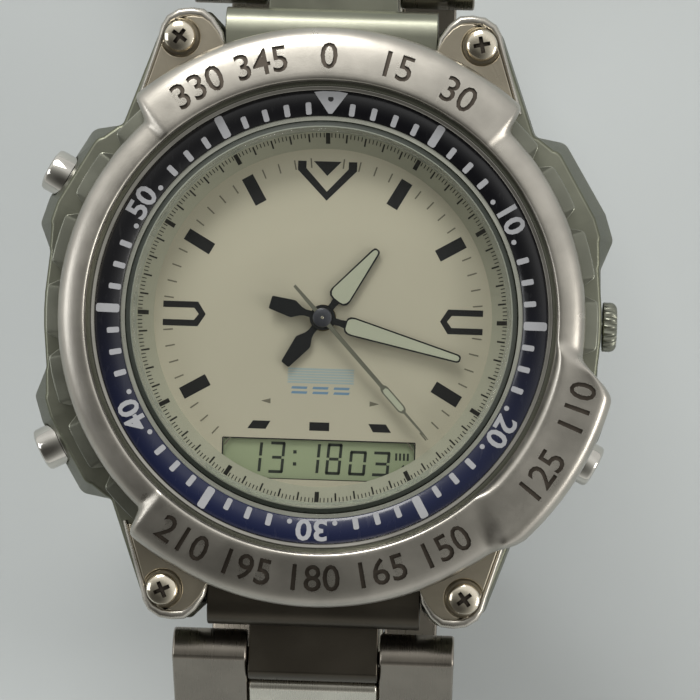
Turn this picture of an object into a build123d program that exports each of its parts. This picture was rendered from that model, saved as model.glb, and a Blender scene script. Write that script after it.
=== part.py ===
from build123d import *
from math import atan2, cos, degrees, radians, sin, sqrt
import os

os.makedirs("parts", exist_ok=True)

# A steel ana digi diver's watch, closed on its bracelet. The dial faces +Z and 12 o'clock is +Y.
# The origin is on the floor under the middle of the dial, where the clasp rests.
# All lengths are millimetres and all angles degrees.

# Clearances and overruns that every fit uses
running_gap = 0.05
fixed_gap = 0.01
seat_gap = 0.1
moving_gap = 0.15
overrun = 0.6

# Crystal, dial and movement stack. The crystal's radius drives every ring round it
crystal_radius = 16.0
crystal_thickness = 2.1
neck_wall = 1.2
neck_rise = 0.95
plate_inset = 0.2
plate_thickness = 5.5
plate_sides = 24
dial_thickness = 0.4
dial_hole_radius = 1.1
chapter_height = 2.7
chapter_width = 2.0
chapter_land = 0.1
ring_sides = 60
chapter_sides = 40
plate_radius = crystal_radius - plate_inset
chapter_foot_radius = crystal_radius - chapter_width
chapter_slope = degrees(atan2(chapter_width - chapter_land, chapter_height))

# Liquid crystal display, in shares of the crystal's radius
lcd_width_share = 1.02
lcd_height_share = 0.23
lcd_place_share = 0.735
lcd_thickness = 1.2
window_margin = 0.2
lcd_width = lcd_width_share * crystal_radius
lcd_height = lcd_height_share * crystal_radius
lcd_centre_y = -lcd_place_share * crystal_radius

# Battery, in shares of the movement's radius
battery_radius_share = 0.3
battery_x_share = -0.455
battery_y_share = 0.33
battery_thickness = 2.5
battery_radius = battery_radius_share * plate_radius
battery_x = battery_x_share * plate_radius
battery_y = battery_y_share * plate_radius

# Rotating bezel and its insert
insert_margin = 0.45
insert_width = 3.1
insert_thickness = 0.45
bezel_rim_width = 0.25
bezel_rim_height = 0.25
bezel_shoulder_width = 2.5
bezel_lift = 0.15
scallop_depth = 1.0
scallop_count = 24
scallop_foot_share = 0.62
scallop_top_share = 0.42
insert_inner_radius = crystal_radius + insert_margin
bezel_rim_radius = crystal_radius + insert_width
bezel_waist_radius = bezel_rim_radius + bezel_shoulder_width
bezel_radius = bezel_waist_radius + scallop_depth

# Guard ring over the bezel
guard_lip_gap = 0.2
guard_slope_width = 0.9
guard_fall_width = 1.7
guard_clearance = 0.2
guard_crown_rise = 2.1
guard_outer_rise = 0.9
skirt_clearance = 0.45
skirt_wall = 0.7
panel_edge_width = 1.05
panel_shoulder_rise = 1.9
panel_edge_rise = 0.9
top_panel_start = 46.0
top_panel_span = 88.0
bottom_panel_start = 228.0
bottom_panel_span = 78.0
wing_start = 312.0
wing_span = 41.0
wing_overhang = 0.95
wing_edge_width = 1.0
wing_shoulder_rise = 2.1
wing_edge_rise = 1.2
wing_foot_rise = 0.9
guard_inner_radius = bezel_rim_radius + guard_lip_gap
guard_crown_radius = guard_inner_radius + guard_slope_width
guard_outer_radius = guard_crown_radius + guard_fall_width
skirt_inner_radius = bezel_radius + skirt_clearance
skirt_outer_radius = skirt_inner_radius + skirt_wall
panel_shoulder_radius = skirt_outer_radius - panel_edge_width
wing_outer_radius = skirt_outer_radius + wing_overhang
wing_shoulder_radius = wing_outer_radius - wing_edge_width

# Crown, stem and pushers
crown_radius = 2.2
crown_length = 1.9
crown_standoff = 0.2
crown_flutes = 20
crown_flute_depth = 0.2
crown_pull = 1.5
stem_drop = 1.5
stem_radius = 0.6
stem_run = 6.4
lever_inset = 3.6
lever_thickness = 0.5
lever_half_width = 1.5
lever_reach = 1.3
pusher_angles = {"10": 153.0, "8": 207.0, "4": 333.0}
pusher_radius = 1.8
pusher_sides = 24
pusher_cap_length = 3.4
pusher_reach = 2.5
pusher_travel = 0.8
stem_inner_end = plate_radius - stem_run
lever_place = plate_radius - lever_inset

# Case plan, worked out from the bezel and the lug gap
case_ledge = 0.5
guard_rise = 0.6
guard_notch_depth = 0.3
guard_notch_room = 2.0
guard_ramp = 3.0
lug_gap = 17.8
lug_thickness = 3.6
lug_bevel = 1.7
lug_bevel_drop = 1.3
lug_flare = 2.2
lug_root_rise = 0.38
lug_reach = 2.2
lug_gap_depth = 1.7
lug_rim_height = 0.7
waist_drop = 4.0
case_top_inset = 0.3
case_bottom_inset = 1.1
case_radius = bezel_radius + case_ledge
guard_corner_x = case_radius + guard_rise
guard_notch_x = case_radius - guard_notch_depth
guard_notch_y = crown_radius + guard_notch_room
guard_corner_y = guard_notch_y + guard_ramp
lug_half_gap = lug_gap / 2
lug_outer_x = lug_half_gap + lug_thickness
lug_corner_x = lug_outer_x + lug_bevel
lug_root_x = lug_corner_x + lug_flare
lug_root_y = sqrt((case_radius + lug_root_rise) ** 2 - lug_root_x**2)
lug_tip_y = case_radius + lug_reach
lug_corner_y = lug_tip_y - lug_bevel_drop
lug_wall_y = case_radius - lug_gap_depth
pusher_end = case_radius + pusher_reach
pusher_pocket_floor = pusher_end - pusher_cap_length - pusher_travel - 2 * seat_gap

# Case heights, from the outer face of the case back upwards
back_flange = 0.9
deck_rise = 1.8
row_pivot_height = 2.4
deck_height = back_flange + plate_thickness + deck_rise
case_waist = deck_height - waist_drop

# Case back
back_rim = 2.4
back_notch_count = 6
back_notch_width = 2.2
back_notch_depth = 1.2
back_radius = crystal_radius + back_rim

# Guard screws in the ears, placed from the lugs
screw_inset = 3.5
screw_tip_margin = 2.6
screw_head_radius = 1.3
screw_head_height = 0.8
screw_sides = 16
ear_plate = 1.0
ear_rim = 0.75
ear_overlap = 0.6
ear_neck_drop = 0.7
ear_heel = 1.1
screw_x = lug_half_gap + screw_inset
screw_y = lug_tip_y - screw_tip_margin
ear_neck_x = lug_half_gap - ear_overlap
ear_neck_y = screw_y - ear_neck_drop
ear_heel_x = screw_x + ear_heel

# Spring bars at the lugs
lug_bar_inset = 2.3
lug_bar_height = 3.4
lug_bar_radius = 0.6
lug_bar_tip_length = 1.2
lug_bar_y = lug_tip_y - lug_bar_inset

# Bracelet rows
row_count = 5
row_pitch = 9.0
row_half_thickness = 1.6
row_overhang = 2.85
row_width_step = 0.35
row_gap = 0.9
centre_half_width = 5.4
first_drop = 50.0
drop_step = 26.0
link_end_radius = 2.1
link_edge_chamfer = 0.4
web_margin = 0.5
web_half_thickness = 1.0
pin_radius = 0.5
pin_recess = 0.3
pin_sides = 12
first_row_half_width = lug_half_gap + row_overhang
last_row_half_width = first_row_half_width - (row_count - 1) * row_width_step

# Clasp
clasp_bar_height = 3.6
cover_plate = 0.9
cover_wall = 0.8
cover_height = 5.4
cover_tail = 2.3
blade_margin = 1.25
blade_thickness = 0.8
blade_hinge_height = 2.1
blade_barrel_radius = 1.05
blade_hinge_inset = 5.0
fold_hinge_inset = 6.0
fold_barrel_radius = 1.25
fold_knuckle_half = 2.8
ear_thickness = 2.6
adjust_hole_step = 2.7
cover_half_width = last_row_half_width + seat_gap
blade_half_width = cover_half_width - cover_wall - blade_margin

# Hands and motion work
hand_lift = 0.35
hand_thickness = 0.2
hand_step = 0.5
hour_length_share = 0.52
hour_tail_share = 0.36
minute_length_share = 0.85
minute_tail_share = 0.32
second_length_share = 0.95
second_tail_share = 0.25
hand_half_width = 0.62
arrow_wide_share = 0.8
arrow_neck_share = 0.5
blade_wide_share = 0.34
blade_point_share = 0.9
second_half_width = 0.14
second_box_start_share = 0.57
second_box_end_share = 0.77
second_box_half_width = 0.38
hand_rest_hour = 52.7
hand_rest_minute = -15.1
hand_rest_second = -47.3
hub_radius = 1.5
cap_radius = 0.82
hour_tube_radius = 0.95
cannon_pipe_radius = 0.55
arbor_radius = 0.22
motion_depth = 1.5
wheel_thickness = 0.3
motion_module = 0.18
cannon_teeth = 8
minute_wheel_teeth = 24
minute_pinion_teeth = 8
hour_wheel_teeth = 32
tooth_root_share = 0.3
addendum_share = 0.75
dedendum_share = 1.1
hour_length = hour_length_share * chapter_foot_radius
hour_tail = hour_tail_share * chapter_foot_radius
minute_length = minute_length_share * chapter_foot_radius
minute_tail = minute_tail_share * chapter_foot_radius
second_length = second_length_share * chapter_foot_radius
second_tail = second_tail_share * chapter_foot_radius
second_box_start = second_box_start_share * second_length
second_box_end = second_box_end_share * second_length

# Places of the row pivots, worked down from the end links to the clasp
drops = [first_drop + row * drop_step for row in range(row_count)]
chain_fall = sum(row_pitch * sin(radians(drop)) for drop in drops)
pivots = [(lug_tip_y + link_end_radius + row_gap, clasp_bar_height + chain_fall)]
for drop in drops:
    last_y, last_z = pivots[-1]
    next_y = last_y + row_pitch * cos(radians(drop))
    pivots.append((next_y, last_z - row_pitch * sin(radians(drop))))
clasp_bar_y, clasp_bar_z = pivots[-1]

# Levels of the head
head_base = pivots[0][1] - row_pivot_height
case_floor = head_base + back_flange
waist_level = head_base + case_waist
deck_level = head_base + deck_height
plate_top = case_floor + plate_thickness
dial_top = plate_top + dial_thickness
crystal_level = dial_top + chapter_height
neck_top = crystal_level + neck_rise
stem_level = plate_top - stem_drop
bore_radius = crystal_radius + running_gap
neck_radius = bore_radius + neck_wall
bezel_level = deck_level + bezel_lift
insert_level = neck_top + bezel_lift
bezel_shoulder = insert_level - bezel_rim_height
guard_under = bezel_shoulder + guard_clearance
ear_top = deck_level + ear_plate


def side_plane(side, place, drop):
    """The plane along one bracelet row's side, with its x axis running down the bracelet."""
    y, z = place
    run = (0, side * cos(radians(drop)), -sin(radians(drop)))
    return Plane(origin=(0, side * y, z), x_dir=run, z_dir=(side, 0, 0))


def radial_plane(angle, radius, level):
    """A plane that faces outwards at an angle round the dial."""
    turn = radians(angle)
    return Plane(
        origin=(radius * cos(turn), radius * sin(turn), level),
        x_dir=(-sin(turn), cos(turn), 0),
        z_dir=(cos(turn), sin(turn), 0),
    )


def turned_plane(angle):
    """An upright plane through the dial's axis, for sections that are turned round it."""
    turn = radians(angle)
    return Plane(origin=(0, 0, 0), x_dir=(cos(turn), sin(turn), 0), z_dir=(sin(turn), -cos(turn), 0))


def whole_outline(quarter, middle):
    """The case's outline from one quarter of it and the point where two quarters meet."""
    right = [*quarter, middle, *[(x, -y) for x, y in reversed(quarter)]]
    return right + [(-x, y) for x, y in reversed(right)]


def tooth_points(teeth, module, turn):
    """The corners of a small gear's pointed teeth, three to a tooth."""
    pitch_radius = module * teeth / 2
    tip = pitch_radius + addendum_share * module
    root = pitch_radius - dedendum_share * module
    points = []
    for tooth in range(teeth):
        for share, radius in ((-tooth_root_share, root), (0, tip), (tooth_root_share, root)):
            angle = radians(turn + (tooth + share) * 360 / teeth)
            points.append((radius * cos(angle), radius * sin(angle)))
    return points


# Case: body with four lugs and guards for crown and pushers, a neck for the crystal, and the bore
# that takes crystal, dial and movement
case_quarter = [
    (lug_outer_x, lug_tip_y),
    (lug_corner_x, lug_corner_y),
    (lug_root_x, lug_root_y),
    (guard_corner_x, guard_corner_y),
    (guard_notch_x, guard_notch_y),
]
lug_rim_outline = [
    (lug_half_gap, lug_wall_y),
    (lug_half_gap, lug_tip_y - case_top_inset),
    (lug_outer_x - case_top_inset, lug_tip_y - case_top_inset),
    (lug_corner_x - case_top_inset, lug_corner_y - case_top_inset / 2),
    (lug_root_x - case_top_inset, lug_root_y),
]
ear_outline = [
    (ear_neck_x, ear_neck_y),
    (ear_neck_x + ear_rim, lug_corner_y - ear_rim),
    (lug_half_gap + 2 * ear_rim, lug_tip_y - ear_rim),
    (lug_outer_x, lug_tip_y - ear_rim),
    (lug_corner_x - ear_rim, lug_corner_y - ear_rim / 2),
    (lug_root_x - ear_rim, lug_root_y + 2 * ear_rim),
    (ear_heel_x, lug_root_y),
]
corner_signs = ((1, 1), (1, -1), (-1, 1), (-1, -1))
screw_places = [(sign_x * screw_x, sign_y * screw_y) for sign_x, sign_y in corner_signs]
case_outline = whole_outline(case_quarter, (case_radius, 0))
with BuildPart() as case:
    for level, inset in (
        (case_floor, case_bottom_inset),
        (waist_level, 0),
        (deck_level, case_top_inset),
    ):
        with BuildSketch(Plane.XY.offset(level)):
            with BuildLine():
                Polyline(*case_outline, close=True)
            make_face()
            if inset:
                offset(amount=-inset, kind=Kind.INTERSECTION)
    loft(ruled=True)
    with BuildSketch(Plane.XY.offset(deck_level)):
        for sign_x, sign_y in corner_signs:
            with BuildLine():
                Polyline(*[(sign_x * x, sign_y * y) for x, y in lug_rim_outline], close=True)
            make_face()
    extrude(amount=lug_rim_height)
    with BuildSketch(Plane.XY.offset(deck_level)):
        Circle(skirt_outer_radius + moving_gap)
        for sign_x, sign_y in corner_signs:
            with BuildLine():
                Polyline(*[(sign_x * x, sign_y * y) for x, y in ear_outline], close=True)
            ear_floor = make_face(mode=Mode.PRIVATE)
            offset(ear_floor, amount=seat_gap, kind=Kind.INTERSECTION, mode=Mode.ADD)
    extrude(amount=lug_rim_height, mode=Mode.SUBTRACT)
    with BuildSketch(Plane.XY.offset(case_floor)):
        for side in (1, -1):
            with Locations((0, side * (lug_wall_y + lug_tip_y) / 2)):
                Rectangle(lug_gap, lug_tip_y - lug_wall_y + overrun)
            with Locations((0, side * lug_tip_y)):
                Rectangle(lug_gap, 2 * overrun)
    extrude(amount=deck_height + lug_rim_height, mode=Mode.SUBTRACT)
    with BuildSketch(Plane.XY.offset(deck_level)):
        RegularPolygon(neck_radius, ring_sides)
    extrude(amount=neck_top - deck_level)
    with BuildSketch(Plane.XY.offset(case_floor)):
        RegularPolygon(bore_radius, ring_sides, major_radius=False)
    extrude(amount=neck_top - case_floor, mode=Mode.SUBTRACT)
    with BuildSketch(Plane.YZ.offset(-lug_half_gap - lug_bar_tip_length - seat_gap)):
        with Locations(
            (lug_bar_y, head_base + lug_bar_height), (-lug_bar_y, head_base + lug_bar_height)
        ):
            RegularPolygon(lug_bar_radius + fixed_gap, pin_sides, major_radius=False)
    extrude(amount=lug_gap + 2 * (lug_bar_tip_length + seat_gap), mode=Mode.SUBTRACT)
    for angle in pusher_angles.values():
        with BuildSketch(radial_plane(angle, pusher_pocket_floor, stem_level)):
            RegularPolygon(pusher_radius + running_gap, pusher_sides, major_radius=False)
        extrude(amount=pusher_end - pusher_pocket_floor, mode=Mode.SUBTRACT)
    with BuildSketch(radial_plane(0, bore_radius - overrun, stem_level)):
        RegularPolygon(stem_radius + running_gap, pin_sides, major_radius=False)
    extrude(amount=case_radius - bore_radius + 2 * overrun, mode=Mode.SUBTRACT)
case.part.label = "case"
export_step(case.part, "parts/case.step")

# Case back: a plate that closes the bore, with notches for the opening wrench
with BuildPart() as case_back:
    with BuildSketch(Plane.XY.offset(head_base)):
        Circle(back_radius)
    extrude(amount=back_flange)
    with BuildSketch(Plane.XY.offset(head_base)):
        with PolarLocations(back_radius, back_notch_count):
            Rectangle(2 * back_notch_depth, back_notch_width)
    extrude(amount=back_flange / 2, mode=Mode.SUBTRACT)
case_back.part.label = "case_back"
export_step(case_back.part, "parts/case_back.step")

# Crystal
with BuildPart() as crystal:
    with BuildSketch(Plane.XY.offset(crystal_level)):
        Circle(crystal_radius)
    extrude(amount=crystal_thickness)
crystal.part.label = "crystal"
export_step(crystal.part, "parts/crystal.step")

# Chapter ring: the cone between dial and crystal that carries the minute scale
with BuildPart() as chapter_ring:
    with BuildSketch(Plane.XY.offset(dial_top)):
        RegularPolygon(crystal_radius, chapter_sides)
    extrude(amount=chapter_height)
    with BuildSketch(Plane.XY.offset(dial_top)):
        RegularPolygon(chapter_foot_radius, chapter_sides)
    extrude(amount=chapter_height, taper=-chapter_slope, mode=Mode.SUBTRACT)
chapter_ring.part.label = "chapter_ring"
export_step(chapter_ring.part, "parts/chapter_ring.step")

# Dial with the hole for the hands and the window over the display
with BuildPart() as dial:
    with BuildSketch(Plane.XY.offset(plate_top)):
        RegularPolygon(crystal_radius, ring_sides)
        RegularPolygon(dial_hole_radius, pin_sides, major_radius=False, mode=Mode.SUBTRACT)
        with Locations((0, lcd_centre_y)):
            Rectangle(
                lcd_width - 2 * window_margin, lcd_height - 2 * window_margin, mode=Mode.SUBTRACT
            )
    extrude(amount=dial_thickness)
dial.part.label = "dial"
export_step(dial.part, "parts/dial.step")

with BuildPart() as lcd_panel:
    with BuildSketch(Plane.XY.offset(plate_top - lcd_thickness)):
        with Locations((0, lcd_centre_y)):
            Rectangle(lcd_width, lcd_height)
    extrude(amount=lcd_thickness)
lcd_panel.part.label = "lcd_panel"
export_step(lcd_panel.part, "parts/lcd_panel.step")

# Movement: one block that carries the display, motion work, setting lever and battery
lever_room = lever_thickness + crown_pull + 2 * moving_gap
minute_wheel_offset = motion_module * (cannon_teeth + minute_wheel_teeth) / 2
pinion_module = 2 * minute_wheel_offset / (minute_pinion_teeth + hour_wheel_teeth)
minute_wheel_tip = motion_module * (minute_wheel_teeth / 2 + addendum_share)
hour_wheel_tip = pinion_module * (hour_wheel_teeth / 2 + addendum_share)
with BuildPart() as movement:
    with BuildSketch(Plane.XY.offset(case_floor)):
        RegularPolygon(plate_radius, plate_sides)
    extrude(amount=plate_thickness)
    with BuildSketch(Plane.XY.offset(plate_top)):
        with Locations((0, lcd_centre_y)):
            Rectangle(lcd_width + 2 * seat_gap, lcd_height + 2 * seat_gap)
    extrude(amount=-lcd_thickness, mode=Mode.SUBTRACT)
    with BuildSketch(Plane.XY.offset(plate_top)):
        RegularPolygon(hour_wheel_tip + 2 * seat_gap, plate_sides, major_radius=False)
        with Locations((minute_wheel_offset, 0)):
            RegularPolygon(minute_wheel_tip + 2 * seat_gap, plate_sides, major_radius=False)
    extrude(amount=-motion_depth, mode=Mode.SUBTRACT)
    with BuildSketch(Plane.XY.offset(plate_top - motion_depth)):
        RegularPolygon(arbor_radius + running_gap, pin_sides, major_radius=False)
    extrude(amount=-motion_depth, mode=Mode.SUBTRACT)
    with BuildSketch(Plane.XY.offset(case_floor)):
        with Locations((battery_x, battery_y)):
            RegularPolygon(battery_radius + seat_gap, plate_sides, major_radius=False)
    extrude(amount=battery_thickness + seat_gap, mode=Mode.SUBTRACT)
    with BuildSketch(radial_plane(0, stem_inner_end - seat_gap, stem_level)):
        RegularPolygon(stem_radius + running_gap, pin_sides, major_radius=False)
    extrude(amount=plate_radius - stem_inner_end + overrun, mode=Mode.SUBTRACT)
    with BuildSketch(Plane.XY.offset(plate_top)):
        with Locations((lever_place - moving_gap, 0)):
            Rectangle(
                lever_room,
                2 * (lever_half_width + seat_gap),
                align=(Align.MIN, Align.CENTER),
            )
    extrude(amount=-(plate_top - stem_level + lever_reach), mode=Mode.SUBTRACT)
movement.part.label = "movement"
export_step(movement.part, "parts/movement.step")

with BuildPart() as battery:
    with BuildSketch(Plane.XY.offset(case_floor)):
        with Locations((battery_x, battery_y)):
            RegularPolygon(battery_radius, plate_sides)
    extrude(amount=battery_thickness)
battery.part.label = "battery"
export_step(battery.part, "parts/battery.step")

# Rotating bezel: a scalloped grip under the guard ring and a raised seat for the insert
scallop_points = []
scallop_corners = (
    (-scallop_foot_share / 2, bezel_waist_radius),
    (-scallop_top_share / 2, bezel_radius),
    (scallop_top_share / 2, bezel_radius),
    (scallop_foot_share / 2, bezel_waist_radius),
)
for scallop in range(scallop_count):
    for share, radius in scallop_corners:
        angle = radians((scallop + share) * 360 / scallop_count)
        scallop_points.append((radius * cos(angle), radius * sin(angle)))
with BuildPart() as rotating_bezel:
    with BuildSketch(Plane.XY.offset(bezel_level)):
        Polygon(*scallop_points, align=None)
    extrude(amount=bezel_shoulder - bezel_level)
    with BuildSketch(Plane.XY.offset(bezel_shoulder)):
        RegularPolygon(bezel_rim_radius, ring_sides)
    extrude(amount=insert_level - bezel_shoulder)
    with BuildSketch(Plane.XY.offset(bezel_level)):
        RegularPolygon(neck_radius + seat_gap, ring_sides, major_radius=False)
    extrude(amount=insert_level - bezel_level, mode=Mode.SUBTRACT)
rotating_bezel.part.label = "rotating_bezel"
export_step(rotating_bezel.part, "parts/rotating_bezel.step")

with BuildPart() as bezel_insert:
    with BuildSketch(Plane.XY.offset(insert_level)):
        Circle(bezel_rim_radius - bezel_rim_width)
        RegularPolygon(insert_inner_radius, ring_sides, mode=Mode.SUBTRACT)
    extrude(amount=insert_thickness)
bezel_insert.part.label = "bezel_insert"
export_step(bezel_insert.part, "parts/bezel_insert.step")

# Guard ring: a domed cover over the bezel, raised panels at top and bottom,
# a wing over the light pusher, and four ears that the screws hold to the lugs
panel_section = [
    (guard_crown_radius, guard_under),
    (guard_crown_radius, guard_under + guard_crown_rise),
    (panel_shoulder_radius, guard_under + panel_shoulder_rise),
    (skirt_outer_radius, guard_under + panel_edge_rise),
    (skirt_outer_radius, deck_level),
    (skirt_inner_radius, deck_level),
    (skirt_inner_radius, guard_under),
]
wing_foot = deck_level + wing_foot_rise
wing_section = [
    (guard_crown_radius, guard_under),
    (guard_crown_radius, guard_under + guard_crown_rise),
    (wing_shoulder_radius, guard_under + wing_shoulder_rise),
    (wing_outer_radius, guard_under + wing_edge_rise),
    (wing_outer_radius, guard_under),
    (wing_shoulder_radius, wing_foot),
    (skirt_inner_radius, wing_foot),
    (skirt_inner_radius, guard_under),
]
with BuildPart() as guard_ring:
    with BuildSketch(Plane.XZ):
        with BuildLine():
            Polyline(
                (guard_inner_radius, guard_under),
                (guard_crown_radius, guard_under + guard_crown_rise),
                (guard_outer_radius, guard_under + guard_outer_rise),
                (guard_outer_radius, guard_under),
                close=True,
            )
        make_face()
    revolve(axis=Axis.Z)
    for start, span in ((top_panel_start, top_panel_span), (bottom_panel_start, bottom_panel_span)):
        with BuildSketch(turned_plane(start)):
            with BuildLine():
                Polyline(*panel_section, close=True)
            make_face()
        revolve(axis=Axis.Z, revolution_arc=span)
    with BuildSketch(turned_plane(wing_start)):
        with BuildLine():
            Polyline(*wing_section, close=True)
        make_face()
    revolve(axis=Axis.Z, revolution_arc=wing_span)
    with BuildSketch(Plane.XY.offset(deck_level)):
        for sign_x, sign_y in corner_signs:
            with BuildLine():
                Polyline(*[(sign_x * x, sign_y * y) for x, y in ear_outline], close=True)
            make_face()
        Circle(skirt_inner_radius, mode=Mode.SUBTRACT)
    extrude(amount=ear_plate)
guard_ring.part.label = "guard_ring"
export_step(guard_ring.part, "parts/guard_ring.step")

with BuildPart() as guard_screws:
    with BuildSketch(Plane.XY.offset(ear_top)):
        with Locations(*screw_places):
            RegularPolygon(screw_head_radius, screw_sides)
    extrude(amount=screw_head_height)
guard_screws.part.label = "guard_screws"
export_step(guard_screws.part, "parts/guard_screws.step")

# Crown with a fluted grip, on the stem that runs into the movement
crown_start = case_radius + crown_standoff
crown_points = []
for step in range(2 * crown_flutes):
    reach = crown_radius - crown_flute_depth * (step % 2)
    angle = radians(step * 180 / crown_flutes)
    crown_points.append((reach * cos(angle), reach * sin(angle)))
with BuildPart() as crown:
    with BuildSketch(radial_plane(0, crown_start, stem_level)):
        Polygon(*crown_points, align=None)
    extrude(amount=crown_length)
    with BuildSketch(radial_plane(0, stem_inner_end, stem_level)):
        RegularPolygon(stem_radius, pin_sides)
    extrude(amount=crown_start - stem_inner_end)
crown.part.label = "crown"
export_step(crown.part, "parts/crown.step")

# Setting lever: the fork that straddles the stem and slides with it
with BuildPart() as setting_lever:
    with BuildSketch(radial_plane(0, lever_place, stem_level)):
        with Locations((0, seat_gap - lever_reach)):
            Rectangle(
                2 * lever_half_width,
                plate_top - stem_level + lever_reach - 2 * seat_gap,
                align=(Align.CENTER, Align.MIN),
            )
        with Locations((0, -lever_reach)):
            Rectangle(
                2 * (stem_radius + running_gap),
                lever_reach + stem_radius + running_gap,
                align=(Align.CENTER, Align.MIN),
                mode=Mode.SUBTRACT,
            )
    extrude(amount=lever_thickness)
setting_lever.part.label = "setting_lever"
export_step(setting_lever.part, "parts/setting_lever.step")

# Pushers
for name, angle in pusher_angles.items():
    with BuildPart() as pusher:
        with BuildSketch(radial_plane(angle, pusher_end - pusher_cap_length, stem_level)):
            RegularPolygon(pusher_radius, pusher_sides)
        extrude(amount=pusher_cap_length)
    pusher.part.label = f"pusher_{name}"
    export_step(pusher.part, f"parts/pusher_{name}.step")

# Motion work: cannon pinion, minute wheel and hour wheel in mesh under the dial
motion_floor = plate_top - motion_depth + running_gap
pinion_level = motion_floor + wheel_thickness
hour_wheel_level = pinion_level + 2 * seat_gap
hour_hand_level = dial_top + hand_lift
minute_hand_level = hour_hand_level + hand_step
second_hand_level = minute_hand_level + hand_step
with BuildPart() as cannon_pinion:
    with BuildSketch(Plane.XY.offset(motion_floor)):
        Polygon(*tooth_points(cannon_teeth, motion_module, 0), align=None)
    extrude(amount=wheel_thickness)
    with BuildSketch(Plane.XY.offset(motion_floor)):
        RegularPolygon(cannon_pipe_radius, pin_sides)
    extrude(amount=minute_hand_level + hand_thickness - motion_floor)
    with BuildSketch(Plane.XY.offset(motion_floor)):
        RegularPolygon(arbor_radius + running_gap, pin_sides, major_radius=False)
    extrude(amount=minute_hand_level + hand_thickness - motion_floor, mode=Mode.SUBTRACT)
cannon_pinion.part.label = "cannon_pinion"
export_step(cannon_pinion.part, "parts/cannon_pinion.step")

half_tooth = 180 / minute_wheel_teeth
half_leaf = 180 / minute_pinion_teeth
with BuildPart() as minute_wheel:
    with BuildSketch(Plane.XY.offset(motion_floor)):
        with Locations((minute_wheel_offset, 0)):
            Polygon(*tooth_points(minute_wheel_teeth, motion_module, half_tooth), align=None)
    extrude(amount=wheel_thickness)
    with BuildSketch(Plane.XY.offset(pinion_level)):
        with Locations((minute_wheel_offset, 0)):
            Polygon(*tooth_points(minute_pinion_teeth, pinion_module, half_leaf), align=None)
    extrude(amount=wheel_thickness + 3 * seat_gap)
minute_wheel.part.label = "minute_wheel"
export_step(minute_wheel.part, "parts/minute_wheel.step")

with BuildPart() as hour_wheel:
    with BuildSketch(Plane.XY.offset(hour_wheel_level)):
        Polygon(*tooth_points(hour_wheel_teeth, pinion_module, 0), align=None)
    extrude(amount=wheel_thickness)
    with BuildSketch(Plane.XY.offset(hour_wheel_level)):
        RegularPolygon(hour_tube_radius, pin_sides)
    extrude(amount=hour_hand_level + hand_thickness - hour_wheel_level)
    with BuildSketch(Plane.XY.offset(hour_wheel_level)):
        RegularPolygon(cannon_pipe_radius + running_gap, pin_sides, major_radius=False)
    extrude(amount=hour_hand_level + hand_thickness - hour_wheel_level, mode=Mode.SUBTRACT)
hour_wheel.part.label = "hour_wheel"
export_step(hour_wheel.part, "parts/hour_wheel.step")


def hand_plane(angle, level):
    """A plane at a hand's height whose x axis points along the hand."""
    turn = radians(angle)
    return Plane(origin=(0, 0, level), x_dir=(cos(turn), sin(turn), 0), z_dir=(0, 0, 1))


# Hands: pointed batons with arrow-shaped tails, pressed on the pipes of the motion work
hands = (
    ("hour_hand", hand_rest_hour, hour_hand_level, hour_length, hour_tail, hour_tube_radius),
    ("minute_hand", hand_rest_minute, minute_hand_level, minute_length, minute_tail, cannon_pipe_radius),
)
for name, angle, level, length, tail, bore in hands:
    upper = [
        (-tail, hand_half_width),
        (-tail * arrow_wide_share, 2 * hand_half_width),
        (-tail * arrow_neck_share, hand_half_width / 2),
        (hub_radius, hand_half_width / 2),
        (length * blade_wide_share, hand_half_width),
        (length * blade_point_share, hand_half_width),
        (length, hand_half_width / 6),
    ]
    with BuildPart() as hand:
        with BuildSketch(hand_plane(angle, level)):
            with BuildLine():
                Polyline(*upper, *[(x, -y) for x, y in reversed(upper)], close=True)
            make_face()
            RegularPolygon(hub_radius, screw_sides)
            RegularPolygon(bore + fixed_gap, pin_sides, major_radius=False, mode=Mode.SUBTRACT)
        extrude(amount=hand_thickness)
    hand.part.label = name
    export_step(hand.part, f"parts/{name}.step")

# Second hand with its lume box and the arbor that runs down through the cannon pinion
arbor_length = second_hand_level - plate_top + 2 * motion_depth - seat_gap
with BuildPart() as second_hand:
    with BuildSketch(hand_plane(hand_rest_second, second_hand_level)):
        with Locations(((second_length - second_tail) / 2, 0)):
            Rectangle(second_length + second_tail, 2 * second_half_width)
        with Locations(((second_box_start + second_box_end) / 2, 0)):
            Rectangle(second_box_end - second_box_start, 2 * second_box_half_width)
        RegularPolygon(cap_radius, screw_sides)
    extrude(amount=hand_thickness)
    with BuildSketch(Plane.XY.offset(second_hand_level)):
        RegularPolygon(arbor_radius, pin_sides)
    extrude(amount=-arbor_length)
second_hand.part.label = "second_hand"
export_step(second_hand.part, "parts/second_hand.step")

# Spring bars that pin the end links between the lugs
with BuildPart() as lug_spring_bars:
    with BuildSketch(Plane.YZ):
        with Locations(
            (lug_bar_y, head_base + lug_bar_height), (-lug_bar_y, head_base + lug_bar_height)
        ):
            RegularPolygon(lug_bar_radius, pin_sides)
    extrude(amount=lug_half_gap + lug_bar_tip_length, both=True)
lug_spring_bars.part.label = "lug_spring_bars"
export_step(lug_spring_bars.part, "parts/lug_spring_bars.step")

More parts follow.
